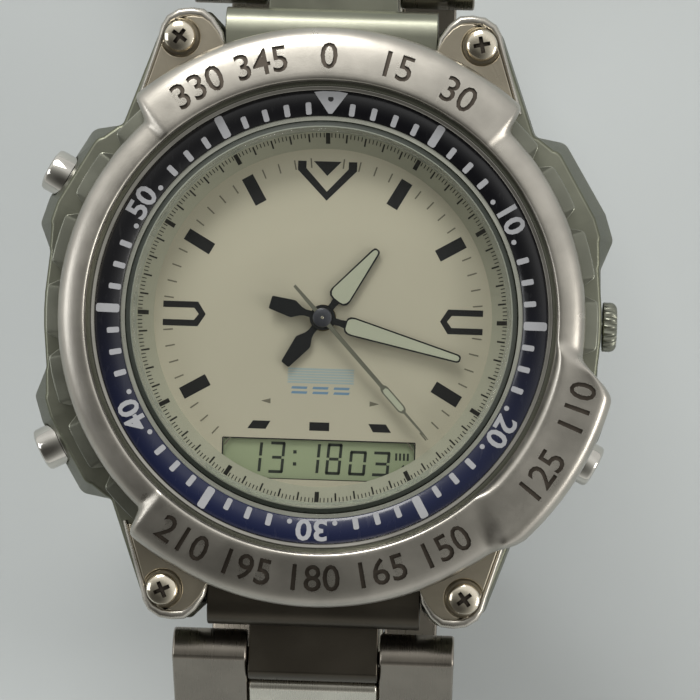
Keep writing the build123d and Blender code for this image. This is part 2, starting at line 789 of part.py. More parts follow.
# End links fill the lug gaps, and their noses carry the first rows
pivot_y, pivot_z = pivots[0]
end_link_back = lug_wall_y + seat_gap
end_link_front = lug_tip_y - seat_gap
round_reach = sqrt(link_end_radius**2 - row_half_thickness**2)
for name, side in (("end_link_12", 1), ("end_link_6", -1)):
    with BuildPart() as end_link:
        with BuildSketch(Plane.YZ):
            with BuildLine():
                Polyline(
                    (side * end_link_back, case_floor),
                    (side * end_link_back, deck_level - row_half_thickness),
                    (side * lug_bar_y, deck_level - row_half_thickness),
                    (side * end_link_front, pivot_z + row_half_thickness),
                    (side * end_link_front, case_floor),
                    close=True,
                )
            make_face()
        extrude(amount=lug_half_gap - seat_gap, both=True)
        with BuildSketch(Plane.YZ):
            with BuildLine():
                Polyline(
                    (side * (pivot_y + round_reach), pivot_z - row_half_thickness),
                    (side * end_link_front, pivot_z - row_half_thickness),
                    (side * end_link_front, pivot_z + row_half_thickness),
                    (side * (pivot_y + round_reach), pivot_z + row_half_thickness),
                )
                ThreePointArc(
                    (side * (pivot_y + round_reach), pivot_z + row_half_thickness),
                    (side * (pivot_y + link_end_radius), pivot_z),
                    (side * (pivot_y + round_reach), pivot_z - row_half_thickness),
                )
            make_face()
        extrude(amount=centre_half_width, both=True)
        with BuildSketch(Plane.YZ):
            with Locations((side * pivot_y, pivot_z)):
                RegularPolygon(pin_radius + running_gap, pin_sides, major_radius=False)
            with Locations((side * lug_bar_y, head_base + lug_bar_height)):
                RegularPolygon(lug_bar_radius + fixed_gap, pin_sides, major_radius=False)
        extrude(amount=lug_half_gap, both=True, mode=Mode.SUBTRACT)
    end_link.part.label = name
    export_step(end_link.part, f"parts/{name}.step")


def link_points(pivot_place, square_place):
    """Corners of a link's side outline: square at one place, ending at the round end's shoulders."""
    toward = 1 if square_place > pivot_place else -1
    shoulder = pivot_place - toward * round_reach
    cut = link_edge_chamfer
    upper = [
        (shoulder, row_half_thickness),
        (square_place - toward * cut, row_half_thickness),
        (square_place, row_half_thickness - cut),
    ]
    return upper + [(u, -v) for u, v in reversed(upper)]


# Bracelet rows: each is an H-shaped link of two outer bars and a centre bar half a pitch further on,
# in one piece with the pin that hangs it on the row before
outer_end = row_pitch - row_pitch / 4 - moving_gap / 2
centre_start = row_pitch / 4 + moving_gap / 2
for half_name, side in (("12", 1), ("6", -1)):
    for row in range(row_count):
        plane = side_plane(side, pivots[row], drops[row])
        half_width = first_row_half_width - row * row_width_step
        bar_start = centre_half_width + moving_gap
        bars = (
            (bar_start, 0, outer_end, half_width - bar_start),
            (-half_width, 0, outer_end, half_width - bar_start),
            (-centre_half_width, row_pitch, centre_start, 2 * centre_half_width),
        )
        with BuildPart() as link:
            for start, pivot_place, square_place, width in bars:
                tip = pivot_place - link_end_radius * (1 if square_place > pivot_place else -1)
                points = link_points(pivot_place, square_place)
                with BuildSketch(plane.offset(start)):
                    with BuildLine():
                        Polyline(*points)
                        ThreePointArc(points[-1], (tip, 0), points[0])
                    make_face()
                extrude(amount=width)
            with BuildSketch(plane):
                with Locations(((centre_start + outer_end) / 2, 0)):
                    Rectangle(outer_end - centre_start - 2 * web_margin, 2 * web_half_thickness)
            extrude(amount=bar_start, both=True)
            with BuildSketch(plane):
                RegularPolygon(pin_radius, pin_sides)
            extrude(amount=bar_start, both=True)
            with BuildSketch(plane):
                with Locations((row_pitch, 0)):
                    RegularPolygon(pin_radius + running_gap, pin_sides, major_radius=False)
            extrude(amount=centre_half_width, both=True, mode=Mode.SUBTRACT)
        link.part.label = f"link_{half_name}_{row + 1}"
        export_step(link.part, f"parts/link_{half_name}_{row + 1}.step")

# Clasp cover: a channel with ears for the spring bar, a spare adjusting hole and the blade's hinge holes
hinge_y = -(clasp_bar_y - blade_hinge_inset)
fold_y = clasp_bar_y - fold_hinge_inset
cover_start = hinge_y - cover_tail
cover_end = clasp_bar_y - row_half_thickness - 3 * seat_gap
cover_inner = cover_half_width - cover_wall
with BuildPart() as clasp_cover:
    with BuildSketch(Plane.YZ):
        with Locations(((cover_start + cover_end) / 2, 0)):
            Rectangle(cover_end - cover_start, cover_height, align=(Align.CENTER, Align.MIN))
        with Locations((clasp_bar_y, clasp_bar_z)):
            RegularPolygon(link_end_radius, screw_sides)
        with Locations(((clasp_bar_y + cover_end) / 2, clasp_bar_z)):
            Rectangle(clasp_bar_y - cover_end + 2 * seat_gap, 2 * row_half_thickness)
    extrude(amount=cover_half_width, both=True)
    chamfer(clasp_cover.edges().filter_by(Axis.Y).group_by(Axis.Z)[0], cover_wall)
    with BuildSketch(Plane.YZ):
        with Locations((0, cover_plate)):
            Rectangle(3 * clasp_bar_y, cover_height + clasp_bar_z, align=(Align.CENTER, Align.MIN))
    extrude(amount=cover_inner, both=True, mode=Mode.SUBTRACT)
    with BuildSketch(Plane.YZ):
        with Locations(
            (hinge_y, blade_hinge_height),
            (clasp_bar_y, clasp_bar_z),
            (clasp_bar_y - adjust_hole_step, clasp_bar_z),
        ):
            RegularPolygon(pin_radius + fixed_gap, pin_sides, major_radius=False)
    extrude(amount=cover_half_width, both=True, mode=Mode.SUBTRACT)
clasp_cover.part.label = "clasp_cover"
export_step(clasp_cover.part, "parts/clasp_cover.step")

# Folding blades: the outer one hinges in the cover's tail, the inner one folds back over it
outer_blade_level = blade_hinge_height - blade_thickness
inner_blade_level = blade_hinge_height + blade_barrel_radius + seat_gap
fold_level = (outer_blade_level + inner_blade_level + blade_thickness) / 2
knuckle_start = fold_knuckle_half + moving_gap
with BuildPart() as outer_blade:
    with BuildSketch(Plane.YZ):
        with Locations(((hinge_y + fold_y) / 2, outer_blade_level)):
            Rectangle(fold_y - hinge_y, blade_thickness, align=(Align.CENTER, Align.MIN))
        with Locations((hinge_y, blade_hinge_height)):
            RegularPolygon(blade_barrel_radius, screw_sides)
        with Locations((fold_y, fold_level)):
            RegularPolygon(fold_barrel_radius, screw_sides)
    extrude(amount=blade_half_width, both=True)
    with BuildSketch(Plane.YZ):
        with Locations((fold_y, fold_level)):
            RegularPolygon(fold_barrel_radius + moving_gap, screw_sides, major_radius=False)
    extrude(amount=knuckle_start, both=True, mode=Mode.SUBTRACT)
    with BuildSketch(Plane.YZ):
        with Locations((hinge_y, blade_hinge_height)):
            RegularPolygon(pin_radius + running_gap, pin_sides, major_radius=False)
        with Locations((fold_y, fold_level)):
            RegularPolygon(pin_radius + fixed_gap, pin_sides, major_radius=False)
    extrude(amount=blade_half_width, both=True, mode=Mode.SUBTRACT)
outer_blade.part.label = "clasp_outer_blade"
export_step(outer_blade.part, "parts/clasp_outer_blade.step")

blade_tail = -clasp_bar_y + link_end_radius + moving_gap
ear_start = centre_half_width + moving_gap
with BuildPart() as inner_blade:
    with BuildSketch(Plane.YZ):
        with Locations(((blade_tail + fold_y) / 2, inner_blade_level)):
            Rectangle(fold_y - blade_tail, blade_thickness, align=(Align.CENTER, Align.MIN))
    extrude(amount=blade_half_width, both=True)
    with BuildSketch(Plane.YZ):
        with Locations((fold_y, fold_level)):
            RegularPolygon(fold_barrel_radius + moving_gap, screw_sides, major_radius=False)
    extrude(amount=blade_half_width, both=True, mode=Mode.SUBTRACT)
    with BuildSketch(Plane.YZ):
        with Locations((fold_y, fold_level)):
            RegularPolygon(fold_barrel_radius, screw_sides)
        with Locations((fold_y - fold_barrel_radius, inner_blade_level)):
            Rectangle(2 * fold_barrel_radius, blade_thickness, align=(Align.CENTER, Align.MIN))
    extrude(amount=fold_knuckle_half, both=True)
    for ear_side in (1, -1):
        with BuildSketch(Plane.YZ.offset(ear_side * ear_start)):
            with Locations((-clasp_bar_y, clasp_bar_z)):
                RegularPolygon(link_end_radius - moving_gap, screw_sides)
            with Locations((-clasp_bar_y, inner_blade_level)):
                Rectangle(2 * link_end_radius, blade_thickness, align=(Align.MIN, Align.MIN))
        extrude(amount=ear_side * ear_thickness)
    with BuildSketch(Plane.YZ):
        with Locations((fold_y, fold_level), (-clasp_bar_y, clasp_bar_z)):
            RegularPolygon(pin_radius + running_gap, pin_sides, major_radius=False)
    extrude(amount=blade_half_width, both=True, mode=Mode.SUBTRACT)
inner_blade.part.label = "clasp_inner_blade"
export_step(inner_blade.part, "parts/clasp_inner_blade.step")

# Clasp pins and spring bars. The bar by 6 o'clock stands sprung back inside its link,
# where the closed loop of the bracelet is open
clasp_pins = (
    ("cover_hinge_pin", hinge_y, blade_hinge_height, cover_half_width),
    ("fold_pin", fold_y, fold_level, blade_half_width),
    ("clasp_bar_12", clasp_bar_y, clasp_bar_z, cover_half_width - pin_recess),
    ("clasp_bar_6", -clasp_bar_y, clasp_bar_z, centre_half_width),
)
for name, y, z, half_length in clasp_pins:
    with BuildPart() as pin:
        with BuildSketch(Plane.YZ):
            with Locations((y, z)):
                RegularPolygon(pin_radius, pin_sides)
        extrude(amount=half_length, both=True)
    pin.part.label = name
    export_step(pin.part, f"parts/{name}.step")
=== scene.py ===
"""The looks of a steel ana digi diver's watch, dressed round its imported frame.

The classes hold their sizes in millimetres, and Blender gets metres. +Z runs up out of
the dial, +Y points to 12 o'clock and +X to 3 o'clock.
"""

import logging
from collections.abc import Callable, Iterable, Sequence
from dataclasses import dataclass
from enum import Enum
from math import atan2, cos, degrees, hypot, pi, radians, sin

import bmesh
import bpy
from mathutils import Matrix, Vector


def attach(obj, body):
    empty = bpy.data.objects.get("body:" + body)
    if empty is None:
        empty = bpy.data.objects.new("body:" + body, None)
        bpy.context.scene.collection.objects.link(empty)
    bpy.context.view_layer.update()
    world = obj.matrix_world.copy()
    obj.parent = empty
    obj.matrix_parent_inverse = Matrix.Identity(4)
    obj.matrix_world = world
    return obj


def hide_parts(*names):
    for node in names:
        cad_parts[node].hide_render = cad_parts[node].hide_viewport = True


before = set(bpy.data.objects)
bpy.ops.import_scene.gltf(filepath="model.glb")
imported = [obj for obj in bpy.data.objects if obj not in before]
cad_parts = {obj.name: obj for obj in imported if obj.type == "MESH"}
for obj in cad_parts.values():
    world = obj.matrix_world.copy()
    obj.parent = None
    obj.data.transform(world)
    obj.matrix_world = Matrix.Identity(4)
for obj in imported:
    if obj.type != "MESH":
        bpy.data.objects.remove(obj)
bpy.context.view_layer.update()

MM = 0.001
FULL_TURN = 360.0
LOG = logging.getLogger("watch")

Colour = tuple[float, float, float]
Flat = tuple[float, float]
Row = Sequence[Sequence[float]]
Height = Callable[[float, float], float]
Bar = tuple[float, float, float]  # a bar's inner radius, outer radius and width
Mesh = bpy.types.Mesh
Item = bpy.types.Object

DECK = 44.868  # the case's upper face
STEM = 41.568  # the height of the crown and of the push buttons
QUARTERS = ((1, 1), (1, -1), (-1, 1), (-1, -1))
SINK = 0.01  # how deep a printed mark starts under its surface
FIGURE_SHARE = 0.72  # how much of the letters' full size a figure takes up


def polar(radius: float, clock: float) -> Flat:
    """The point at a radius and a clock angle, in degrees clockwise from 12 o'clock."""
    return radius * sin(radians(clock)), radius * cos(radians(clock))


def ease(value: float) -> float:
    """A smooth step from 0 to 1."""
    value = max(0.0, min(1.0, value))
    return value * value * (3.0 - 2.0 * value)


def outward(clock: float, reach: float, level: float) -> Matrix:
    """Lay the Z axis along a clock angle.

    Args:
        clock: the clock angle.
        reach: the radius at which the axis starts.
        level: the height at which it lies.

    Returns:
        The matrix.
    """
    x, y = polar(reach, clock)
    turn = Matrix.Translation((x, y, level)) @ Matrix.Rotation(atan2(y, x), 4, "Z")
    return turn @ Matrix.Rotation(radians(90.0), 4, "Y")


def lifted(level: float) -> Matrix:
    """The matrix that lifts a shape on the watch's axis to a level."""
    return Matrix.Translation((0.0, 0.0, level))


def mirrored(outline: Sequence[Flat], way_x: float, way_y: float = 1.0) -> list[Flat]:
    """An outline with its two axes turned over where their way is -1."""
    return [(way_x * x, way_y * y) for x, y in outline]


def shifted(outline: Sequence[Flat], x: float, y: float) -> list[Flat]:
    """An outline moved across its plane."""
    return [(x + px, y + py) for px, py in outline]


def rectangle(x0: float, y0: float, x1: float, y1: float, lean: float = 0.0) -> list[Flat]:
    """A rectangle between two corners, leaning to the right as it rises."""
    return [(x + lean * y, y) for x, y in ((x0, y0), (x1, y0), (x1, y1), (x0, y1))]


def spoke(
    clock: float, inner: float, outer: float, width: float, corner: float = 0.0
) -> list[Flat]:
    """The outline of a bar that points to the centre.

    Args:
        clock: its clock angle.
        inner: the radius of its inner end.
        outer: the radius of its outer end.
        width: its width.
        corner: the radius of its rounded corners.

    Returns:
        Its points.
    """
    along = Vector(polar(1.0, clock))
    across = Vector((along.y, -along.x))
    half = width / 2.0 - corner
    outline = []
    for reach, side, start in (
        (outer - corner, 1, 0.0), (outer - corner, -1, 0.5),
        (inner + corner, -1, 1.0), (inner + corner, 1, 1.5),
    ):
        for turn in (pi * (start + step / 6.0) for step in range(4 if corner else 1)):
            out = along * (reach + corner * sin(turn))
            outline.append(tuple(out + across * (side * half + corner * cos(turn))))
    return outline


# Shader tools


class Signal:
    """A node's output that works in Python expressions."""

    def __init__(self, board: "Board", socket: bpy.types.NodeSocket) -> None:
        """Keep the output and the board that it belongs to."""
        self.board = board
        self.socket = socket

    def math(self, operation: str, first: "Signal | float", second: "Signal | float") -> "Signal":
        """Add a Math node for an operation on two values."""
        return self.board.node("ShaderNodeMath", {"operation": operation}, {0: first, 1: second})

    def __add__(self, other: "Signal | float") -> "Signal":
        """The sum."""
        return self.math("ADD", self, other)

    def __radd__(self, other: float) -> "Signal":
        """The sum, with the number first."""
        return self.math("ADD", other, self)

    def __sub__(self, other: "Signal | float") -> "Signal":
        """The difference."""
        return self.math("SUBTRACT", self, other)

    def __rsub__(self, other: float) -> "Signal":
        """The difference, with the number first."""
        return self.math("SUBTRACT", other, self)

    def __mul__(self, other: "Signal | float") -> "Signal":
        """The product."""
        return self.math("MULTIPLY", self, other)

    def __rmul__(self, other: float) -> "Signal":
        """The product, with the number first."""
        return self.math("MULTIPLY", other, self)

    def between(self, low: float, high: float) -> "Signal":
        """The value's place between two limits, from 0 to 1, eased at both ends."""
        eased = {"interpolation_type": "SMOOTHSTEP"}
        return self.board.node("ShaderNodeMapRange", eased, {0: self, 1: low, 2: high})


class Board:
    """The node tree of one material or of the sky."""

    def __init__(self, tree: bpy.types.NodeTree) -> None:
        """Start from an empty tree."""
        self.tree = tree
        tree.nodes.clear()

    def node(
        self,
        kind: str,
        settings: dict[str, object] | None = None,
        inputs: dict[str | int, object] | None = None,
        output: str | int = 0,
    ) -> Signal:
        """Add a node.

        Args:
            kind: the node's type.
            settings: its properties, and "stops" for a colour ramp.
            inputs: a value or a Signal for each socket, by name or place.
            output: the output that is wanted.

        Returns:
            That output.
        """
        made = self.tree.nodes.new(kind)
        for key, value in (settings or {}).items():
            if key == "stops":
                self.set_stops(made.color_ramp, value)
            else:
                setattr(made, key, value)
        for key, value in (inputs or {}).items():
            if isinstance(value, Signal):
                self.tree.links.new(value.socket, made.inputs[key])
            else:
                made.inputs[key].default_value = value
        return Signal(self, made.outputs[output])

    @staticmethod
    def set_stops(ramp: bpy.types.ColorRamp, stops: Sequence[tuple[float, Colour]]) -> None:
        """Give a colour ramp its stops.

        Args:
            ramp: the ramp.
            stops: the place and the colour of each stop.
        """
        while len(ramp.elements) < len(stops):
            ramp.elements.new(1.0)
        for element, (place, colour) in zip(ramp.elements, stops):
            element.position = place
            element.color = (*colour, 1.0)

    def mix(self, share: Signal, first: Colour | Signal, second: Colour | Signal) -> Signal:
        """Mix two colours.

        Args:
            share: how much of the second colour shows.
            first: the first colour.
            second: the second colour.

        Returns:
            The mixed colour.
        """
        ends = [value if isinstance(value, Signal) else (*value, 1.0) for value in (first, second)]
        inputs = {0: share, 6: ends[0], 7: ends[1]}
        return self.node("ShaderNodeMix", {"data_type": "RGBA"}, inputs, output=2)

    def place(self) -> Signal:
        """The point on the piece, in the watch's own frame."""
        return self.node("ShaderNodeTexCoord", output="Object")

    def axis(self, vector: Signal, name: str) -> Signal:
        """One axis of a vector, by its letter."""
        return self.node("ShaderNodeSeparateXYZ", inputs={0: vector}, output=name)

    def stretched(self, scale: Sequence[float]) -> Signal:
        """The point on the piece, scaled along each axis."""
        inputs = {0: self.place(), 1: tuple(scale)}
        return self.node("ShaderNodeVectorMath", {"operation": "MULTIPLY"}, inputs)

    def noise(self, place: Signal, scale: float, detail: float = 2.0) -> Signal:
        """A noise value from 0 to 1 at a place."""
        inputs = {"Vector": place, "Scale": scale, "Detail": detail}
        return self.node("ShaderNodeTexNoise", inputs=inputs)

    def bump(self, height: Signal, depth: float) -> Signal:
        """A surface normal from a height, at a depth in millimetres."""
        return self.node("ShaderNodeBump", inputs={"Height": height, "Distance": depth * MM})

    def shader(self, inputs: dict[str | int, object]) -> Signal:
        """Add a Principled shader with these inputs."""
        return self.node("ShaderNodeBsdfPrincipled", inputs=inputs)

    def output(self, shader: Signal, kind: str = "ShaderNodeOutputMaterial") -> None:
        """Send a shader to the surface of the material, or of the sky."""
        self.tree.links.new(shader.socket, self.tree.nodes.new(kind).inputs["Surface"])


def scaled(colour: Colour, share: float) -> Colour:
    """A colour made darker or brighter, at most white."""
    return tuple(min(1.0, channel * share) for channel in colour)


class Grain(Enum):
    """How a metal surface was finished."""

    BLASTED = "blasted"
    BRUSHED = "brushed along the bracelet"
    ROUND = "brushed round the dial"
    POLISHED = "polished"


class Finish:
    """A finish that makes its material once."""

    made: dict[str, bpy.types.Material] = {}
    name: str

    def material(self) -> bpy.types.Material:
        """The finish's material.

        Returns:
            The same material at every call.
        """
        if self.name not in Finish.made:
            material = bpy.data.materials.new(self.name)
            material.use_nodes = True
            board = Board(material.node_tree)
            board.output(self.dress(board))
            Finish.made[self.name] = material
        return Finish.made[self.name]

    def dress(self, board: Board) -> Signal:
        """Build the shader on a board; each finish has its own."""
        raise NotImplementedError


# How many noise cells fit in a metre: fine grain, polish, grain along its run, stains, shades.
FINE, POLISH, RUN, STAIN, SHADE = 9000.0, 1500.0, 260.0, 260.0, 90.0
GRAIN_DETAIL, STAIN_DETAIL = 3.0, 4.0


@dataclass(frozen=True)
class Steel(Finish):
    """Stainless steel or brass with grain, soft stains and brighter worn edges."""

    name: str
    colour: Colour
    roughness: float
    grain: Grain
    depth: float = 0.004
    wear: float = 0.35

    def lines(self, board: Board) -> Signal:
        """The height of the grain, from 0 to 1.

        Args:
            board: the board of the material.

        Returns:
            The height, which varies over the surface.
        """
        if self.grain is Grain.BRUSHED:
            return board.noise(board.stretched((FINE, RUN, RUN)), 1.0, GRAIN_DETAIL)
        if self.grain is Grain.ROUND:
            flat = {0: board.stretched((1.0, 1.0, 0.0))}
            reach = board.node("ShaderNodeVectorMath", {"operation": "LENGTH"}, flat, "Value")
            across = board.node("ShaderNodeCombineXYZ", inputs={"X": reach * FINE})
            return board.noise(across, 1.0, GRAIN_DETAIL)
        return board.noise(board.place(), FINE if self.grain is Grain.BLASTED else POLISH)

    def dress(self, board: Board) -> Signal:
        """A metal shader whose colour and gloss vary with grain, stains and wear.

        Args:
            board: the board of the material.

        Returns:
            The shader.
        """
        grain = self.lines(board)
        stain = board.noise(board.place(), STAIN, STAIN_DETAIL)
        edge = board.node("ShaderNodeNewGeometry", output="Pointiness").between(0.505, 0.56)
        stained = board.mix(stain.between(0.35, 0.7), scaled(self.colour, 0.82), self.colour)
        gloss = self.roughness + (stain - 0.5) * 0.12 + (grain - 0.5) * 0.16 - edge * 0.08
        return board.shader(
            {
                "Base Color": board.mix(edge * self.wear, stained, scaled(self.colour, 1.35)),
                "Metallic": 1.0,
                "Roughness": gloss,
                "Normal": board.bump(grain, self.depth),
            }
        )


@dataclass(frozen=True)
class Paint(Finish):
    """Paint, ink or moulded plastic with a faint grain."""

    name: str
    colour: Colour
    roughness: float
    speckle: float = 0.06
    grain_size: float = 0.25
    depth: float = 0.002
    metal: float = 0.0
    coat: float = 0.0

    def dress(self, board: Board) -> Signal:
        """A shader whose colour and gloss vary a little over the surface.

        Args:
            board: the board of the material.

        Returns:
            The shader.
        """
        fine = board.noise(board.place(), 1.0 / (self.grain_size * MM), GRAIN_DETAIL)
        broad = board.noise(board.place(), SHADE)
        low, high = (scaled(self.colour, 1.0 + way * self.speckle) for way in (-1.0, 1.0))
        return board.shader(
            {
                "Base Color": board.mix(0.6 * fine + 0.4 * broad, low, high),
                "Metallic": self.metal,
                "Roughness": self.roughness + (broad - 0.5) * 0.1,
                "Coat Weight": self.coat,
                "Coat Roughness": 0.06,
                "Normal": board.bump(fine, self.depth),
            }
        )


@dataclass(frozen=True)
class InsertPaint(Finish):
    """The bezel insert's anodised finish, with painted light: black at the top of the dial and a
    lighter navy at the foot, where the ring catches the light.
    """

    name: str
    top: Colour
    foot: Colour

    def dress(self, board: Board) -> Signal:
        """A glossy shader that turns from black to navy down the ring as painted light, with fine
        scratches.

        Args:
            board: the board of the material.

        Returns:
            The shader.
        """
        # painted light: the insert's colour lightens from black to navy towards the foot
        down = board.axis(board.place(), "Y").between(4.0 * MM, -17.0 * MM)
        scratch = board.noise(board.stretched((2600.0, 700.0, 900.0)), 1.0, STAIN_DETAIL)
        return board.shader(
            {
                "Base Color": board.mix(down, self.top, self.foot),
                "Metallic": 0.0,
                "Specular IOR Level": 0.35,
                "Roughness": 0.2 + scratch.between(0.55, 0.75) * 0.22,
                "Coat Weight": 0.3,
                "Coat Roughness": 0.05,
                "Normal": board.bump(scratch, 0.001),
            }
        )


@dataclass(frozen=True)
class Glass(Finish):
    """Clear glass that lets the dial show and gathers gloss at a slant."""

    name: str
    colour: Colour
    haze: float
    gloss: float = 0.06
    clear: Colour = (0.985, 0.995, 0.985)

    def dress(self, board: Board) -> Signal:
        """A clear shader under a glossy one, with faint smears.

        Args:
            board: the board of the material.

        Returns:
            The shader.
        """
        smear = board.noise(board.place(), 2.0 * SHADE, STAIN_DETAIL)
        slant = board.node("ShaderNodeLayerWeight", inputs={"Blend": 0.35}, output="Fresnel")
        body = board.shader(
            {
                "Base Color": (*self.colour, 1.0),
                "Roughness": self.gloss + smear.between(0.55, 0.8) * 0.12,
                "Specular IOR Level": 0.8,
                "Coat Weight": 1.0,
                "Coat Roughness": 0.03,
            }
        )
        clear = board.node("ShaderNodeBsdfTransparent", inputs={"Color": (*self.clear, 1.0)})
        share = self.haze + slant * 0.5 + smear.between(0.6, 0.85) * 0.02
        return board.node("ShaderNodeMixShader", inputs={0: share, 1: clear, 2: body})


SATIN = Steel("satin_steel", (0.47, 0.445, 0.395), 0.34, Grain.BLASTED)
EAR = Steel("ear_steel", (0.38, 0.34, 0.265), 0.38, Grain.BLASTED)
OLIVE = Steel("olive_steel", (0.23, 0.235, 0.185), 0.42, Grain.BLASTED, wear=0.3)
# painted shade: a darker copy of the olive steel for the case's flanks, which lie in shade
SHADED_FLANK = Steel("flank_shaded_steel", (0.15, 0.155, 0.112), 0.44, Grain.BLASTED, wear=0.5)
# painted shade: a near-black copy of the olive steel for the end link at 6 o'clock, which lies in
# shadow
SHADOWED_STEEL = Steel("shadowed_steel", (0.075, 0.066, 0.052), 0.42, Grain.BLASTED, wear=0.4)
BRUSHED = Steel("brushed_steel", (0.52, 0.495, 0.44), 0.32, Grain.BRUSHED, 0.006)
# painted light: the outer links painted dark as shaded sides, the centre links painted bright as
# lit tops
SHADED_LINK_SIDE = Steel("link_side_shaded_steel", (0.27, 0.245, 0.21), 0.34, Grain.BRUSHED, 0.006)
LIT_LINK_CENTRE = Steel("link_centre_lit_steel", (0.68, 0.655, 0.575), 0.34, Grain.BRUSHED, 0.006)
TURNED = Steel("turned_steel", (0.50, 0.485, 0.45), 0.32, Grain.ROUND, 0.006)
NECK = Steel("neck_steel", (0.72, 0.73, 0.64), 0.36, Grain.ROUND)
GRIP = Steel("grip_steel", (0.21, 0.215, 0.175), 0.38, Grain.BLASTED, 0.003, 0.45)
POLISHED = Steel("polished_steel", (0.60, 0.58, 0.53), 0.17, Grain.POLISHED, 0.001, 0.15)
BRIGHT = Steel("bright_steel", (0.70, 0.64, 0.52), 0.18, Grain.POLISHED, 0.002, 0.2)
SPRING = Steel("spring_steel", (0.55, 0.55, 0.54), 0.22, Grain.POLISHED, 0.001, 0.1)
BRASS = Steel("brass", (0.72, 0.53, 0.25), 0.28, Grain.POLISHED, 0.001, 0.1)
# painted shade: a dark steel on the cut faces of the engraved numbers and of the screws' cross
# recesses
SHADED_ENGRAVING = Steel("engraved_shaded_steel", (0.10, 0.085, 0.07), 0.5, Grain.BLASTED, wear=0.0)
# painted light: black at the top, lighter navy at the foot
INSERT = InsertPaint("insert_navy", (0.003, 0.003, 0.0045), (0.010, 0.014, 0.045))
SILVER_INK = Paint("silver_ink", (0.36, 0.365, 0.38), 0.45, 0.1, 0.2, metal=0.2)
DIAL_CREAM = Paint("dial_cream", (0.66, 0.605, 0.475), 0.5, 0.03, 0.12, 0.001, metal=0.1)
CHAPTER_CREAM = Paint("chapter_cream", (0.50, 0.49, 0.39), 0.55, 0.05, 0.2)
BLACK_INK = Paint("black_ink", (0.008, 0.007, 0.008), 0.5, 0.2, 0.1)
GREY_INK = Paint("grey_ink", (0.21, 0.19, 0.14), 0.5, 0.1, 0.1)
BLUE_INK = Paint("blue_ink", (0.20, 0.34, 0.50), 0.5, 0.08, 0.1)
PALE_BLUE_INK = Paint("pale_blue_ink", (0.45, 0.54, 0.55), 0.5, 0.08, 0.1)
DISPLAY = Paint("display_green", (0.42, 0.475, 0.30), 0.35, 0.04, 0.5, 0.0005, coat=0.3)
SEGMENT = Paint("segment_grey", (0.036, 0.042, 0.034), 0.4, 0.1, 0.1)
HAND_BLACK = Paint("hand_black", (0.006, 0.006, 0.008), 0.3, 0.2, 0.1, coat=0.3)
HAND_CAP = Paint("hand_cap", (0.07, 0.07, 0.085), 0.35, 0.2, 0.1, metal=0.4, coat=0.3)
HAND_GREY = Paint("hand_grey", (0.22, 0.215, 0.17), 0.4, 0.1, 0.1, metal=0.5)
LUME = Paint("lume", (0.56, 0.57, 0.44), 0.6, 0.05, 0.06)
PLASTIC = Paint("movement_plastic", (0.03, 0.03, 0.03), 0.5, 0.2, 0.4)
GASKET = Paint("gasket", (0.035, 0.042, 0.032), 0.5, 0.1, 0.2)
CRYSTAL = Glass("crystal_glass", (0.03, 0.035, 0.03), 0.0)
# painted reflection: a pale, hazy glass under the crystal's bevel for the bevel's whitish glare
BEVEL_GLARE = Glass("crystal_bevel_glare", (0.60, 0.63, 0.55), 0.45, 0.25)
FLOOR = Paint("floor_pale", (0.50, 0.53, 0.53), 0.75, 0.012, 3.0, 0.01)


# Mesh tools


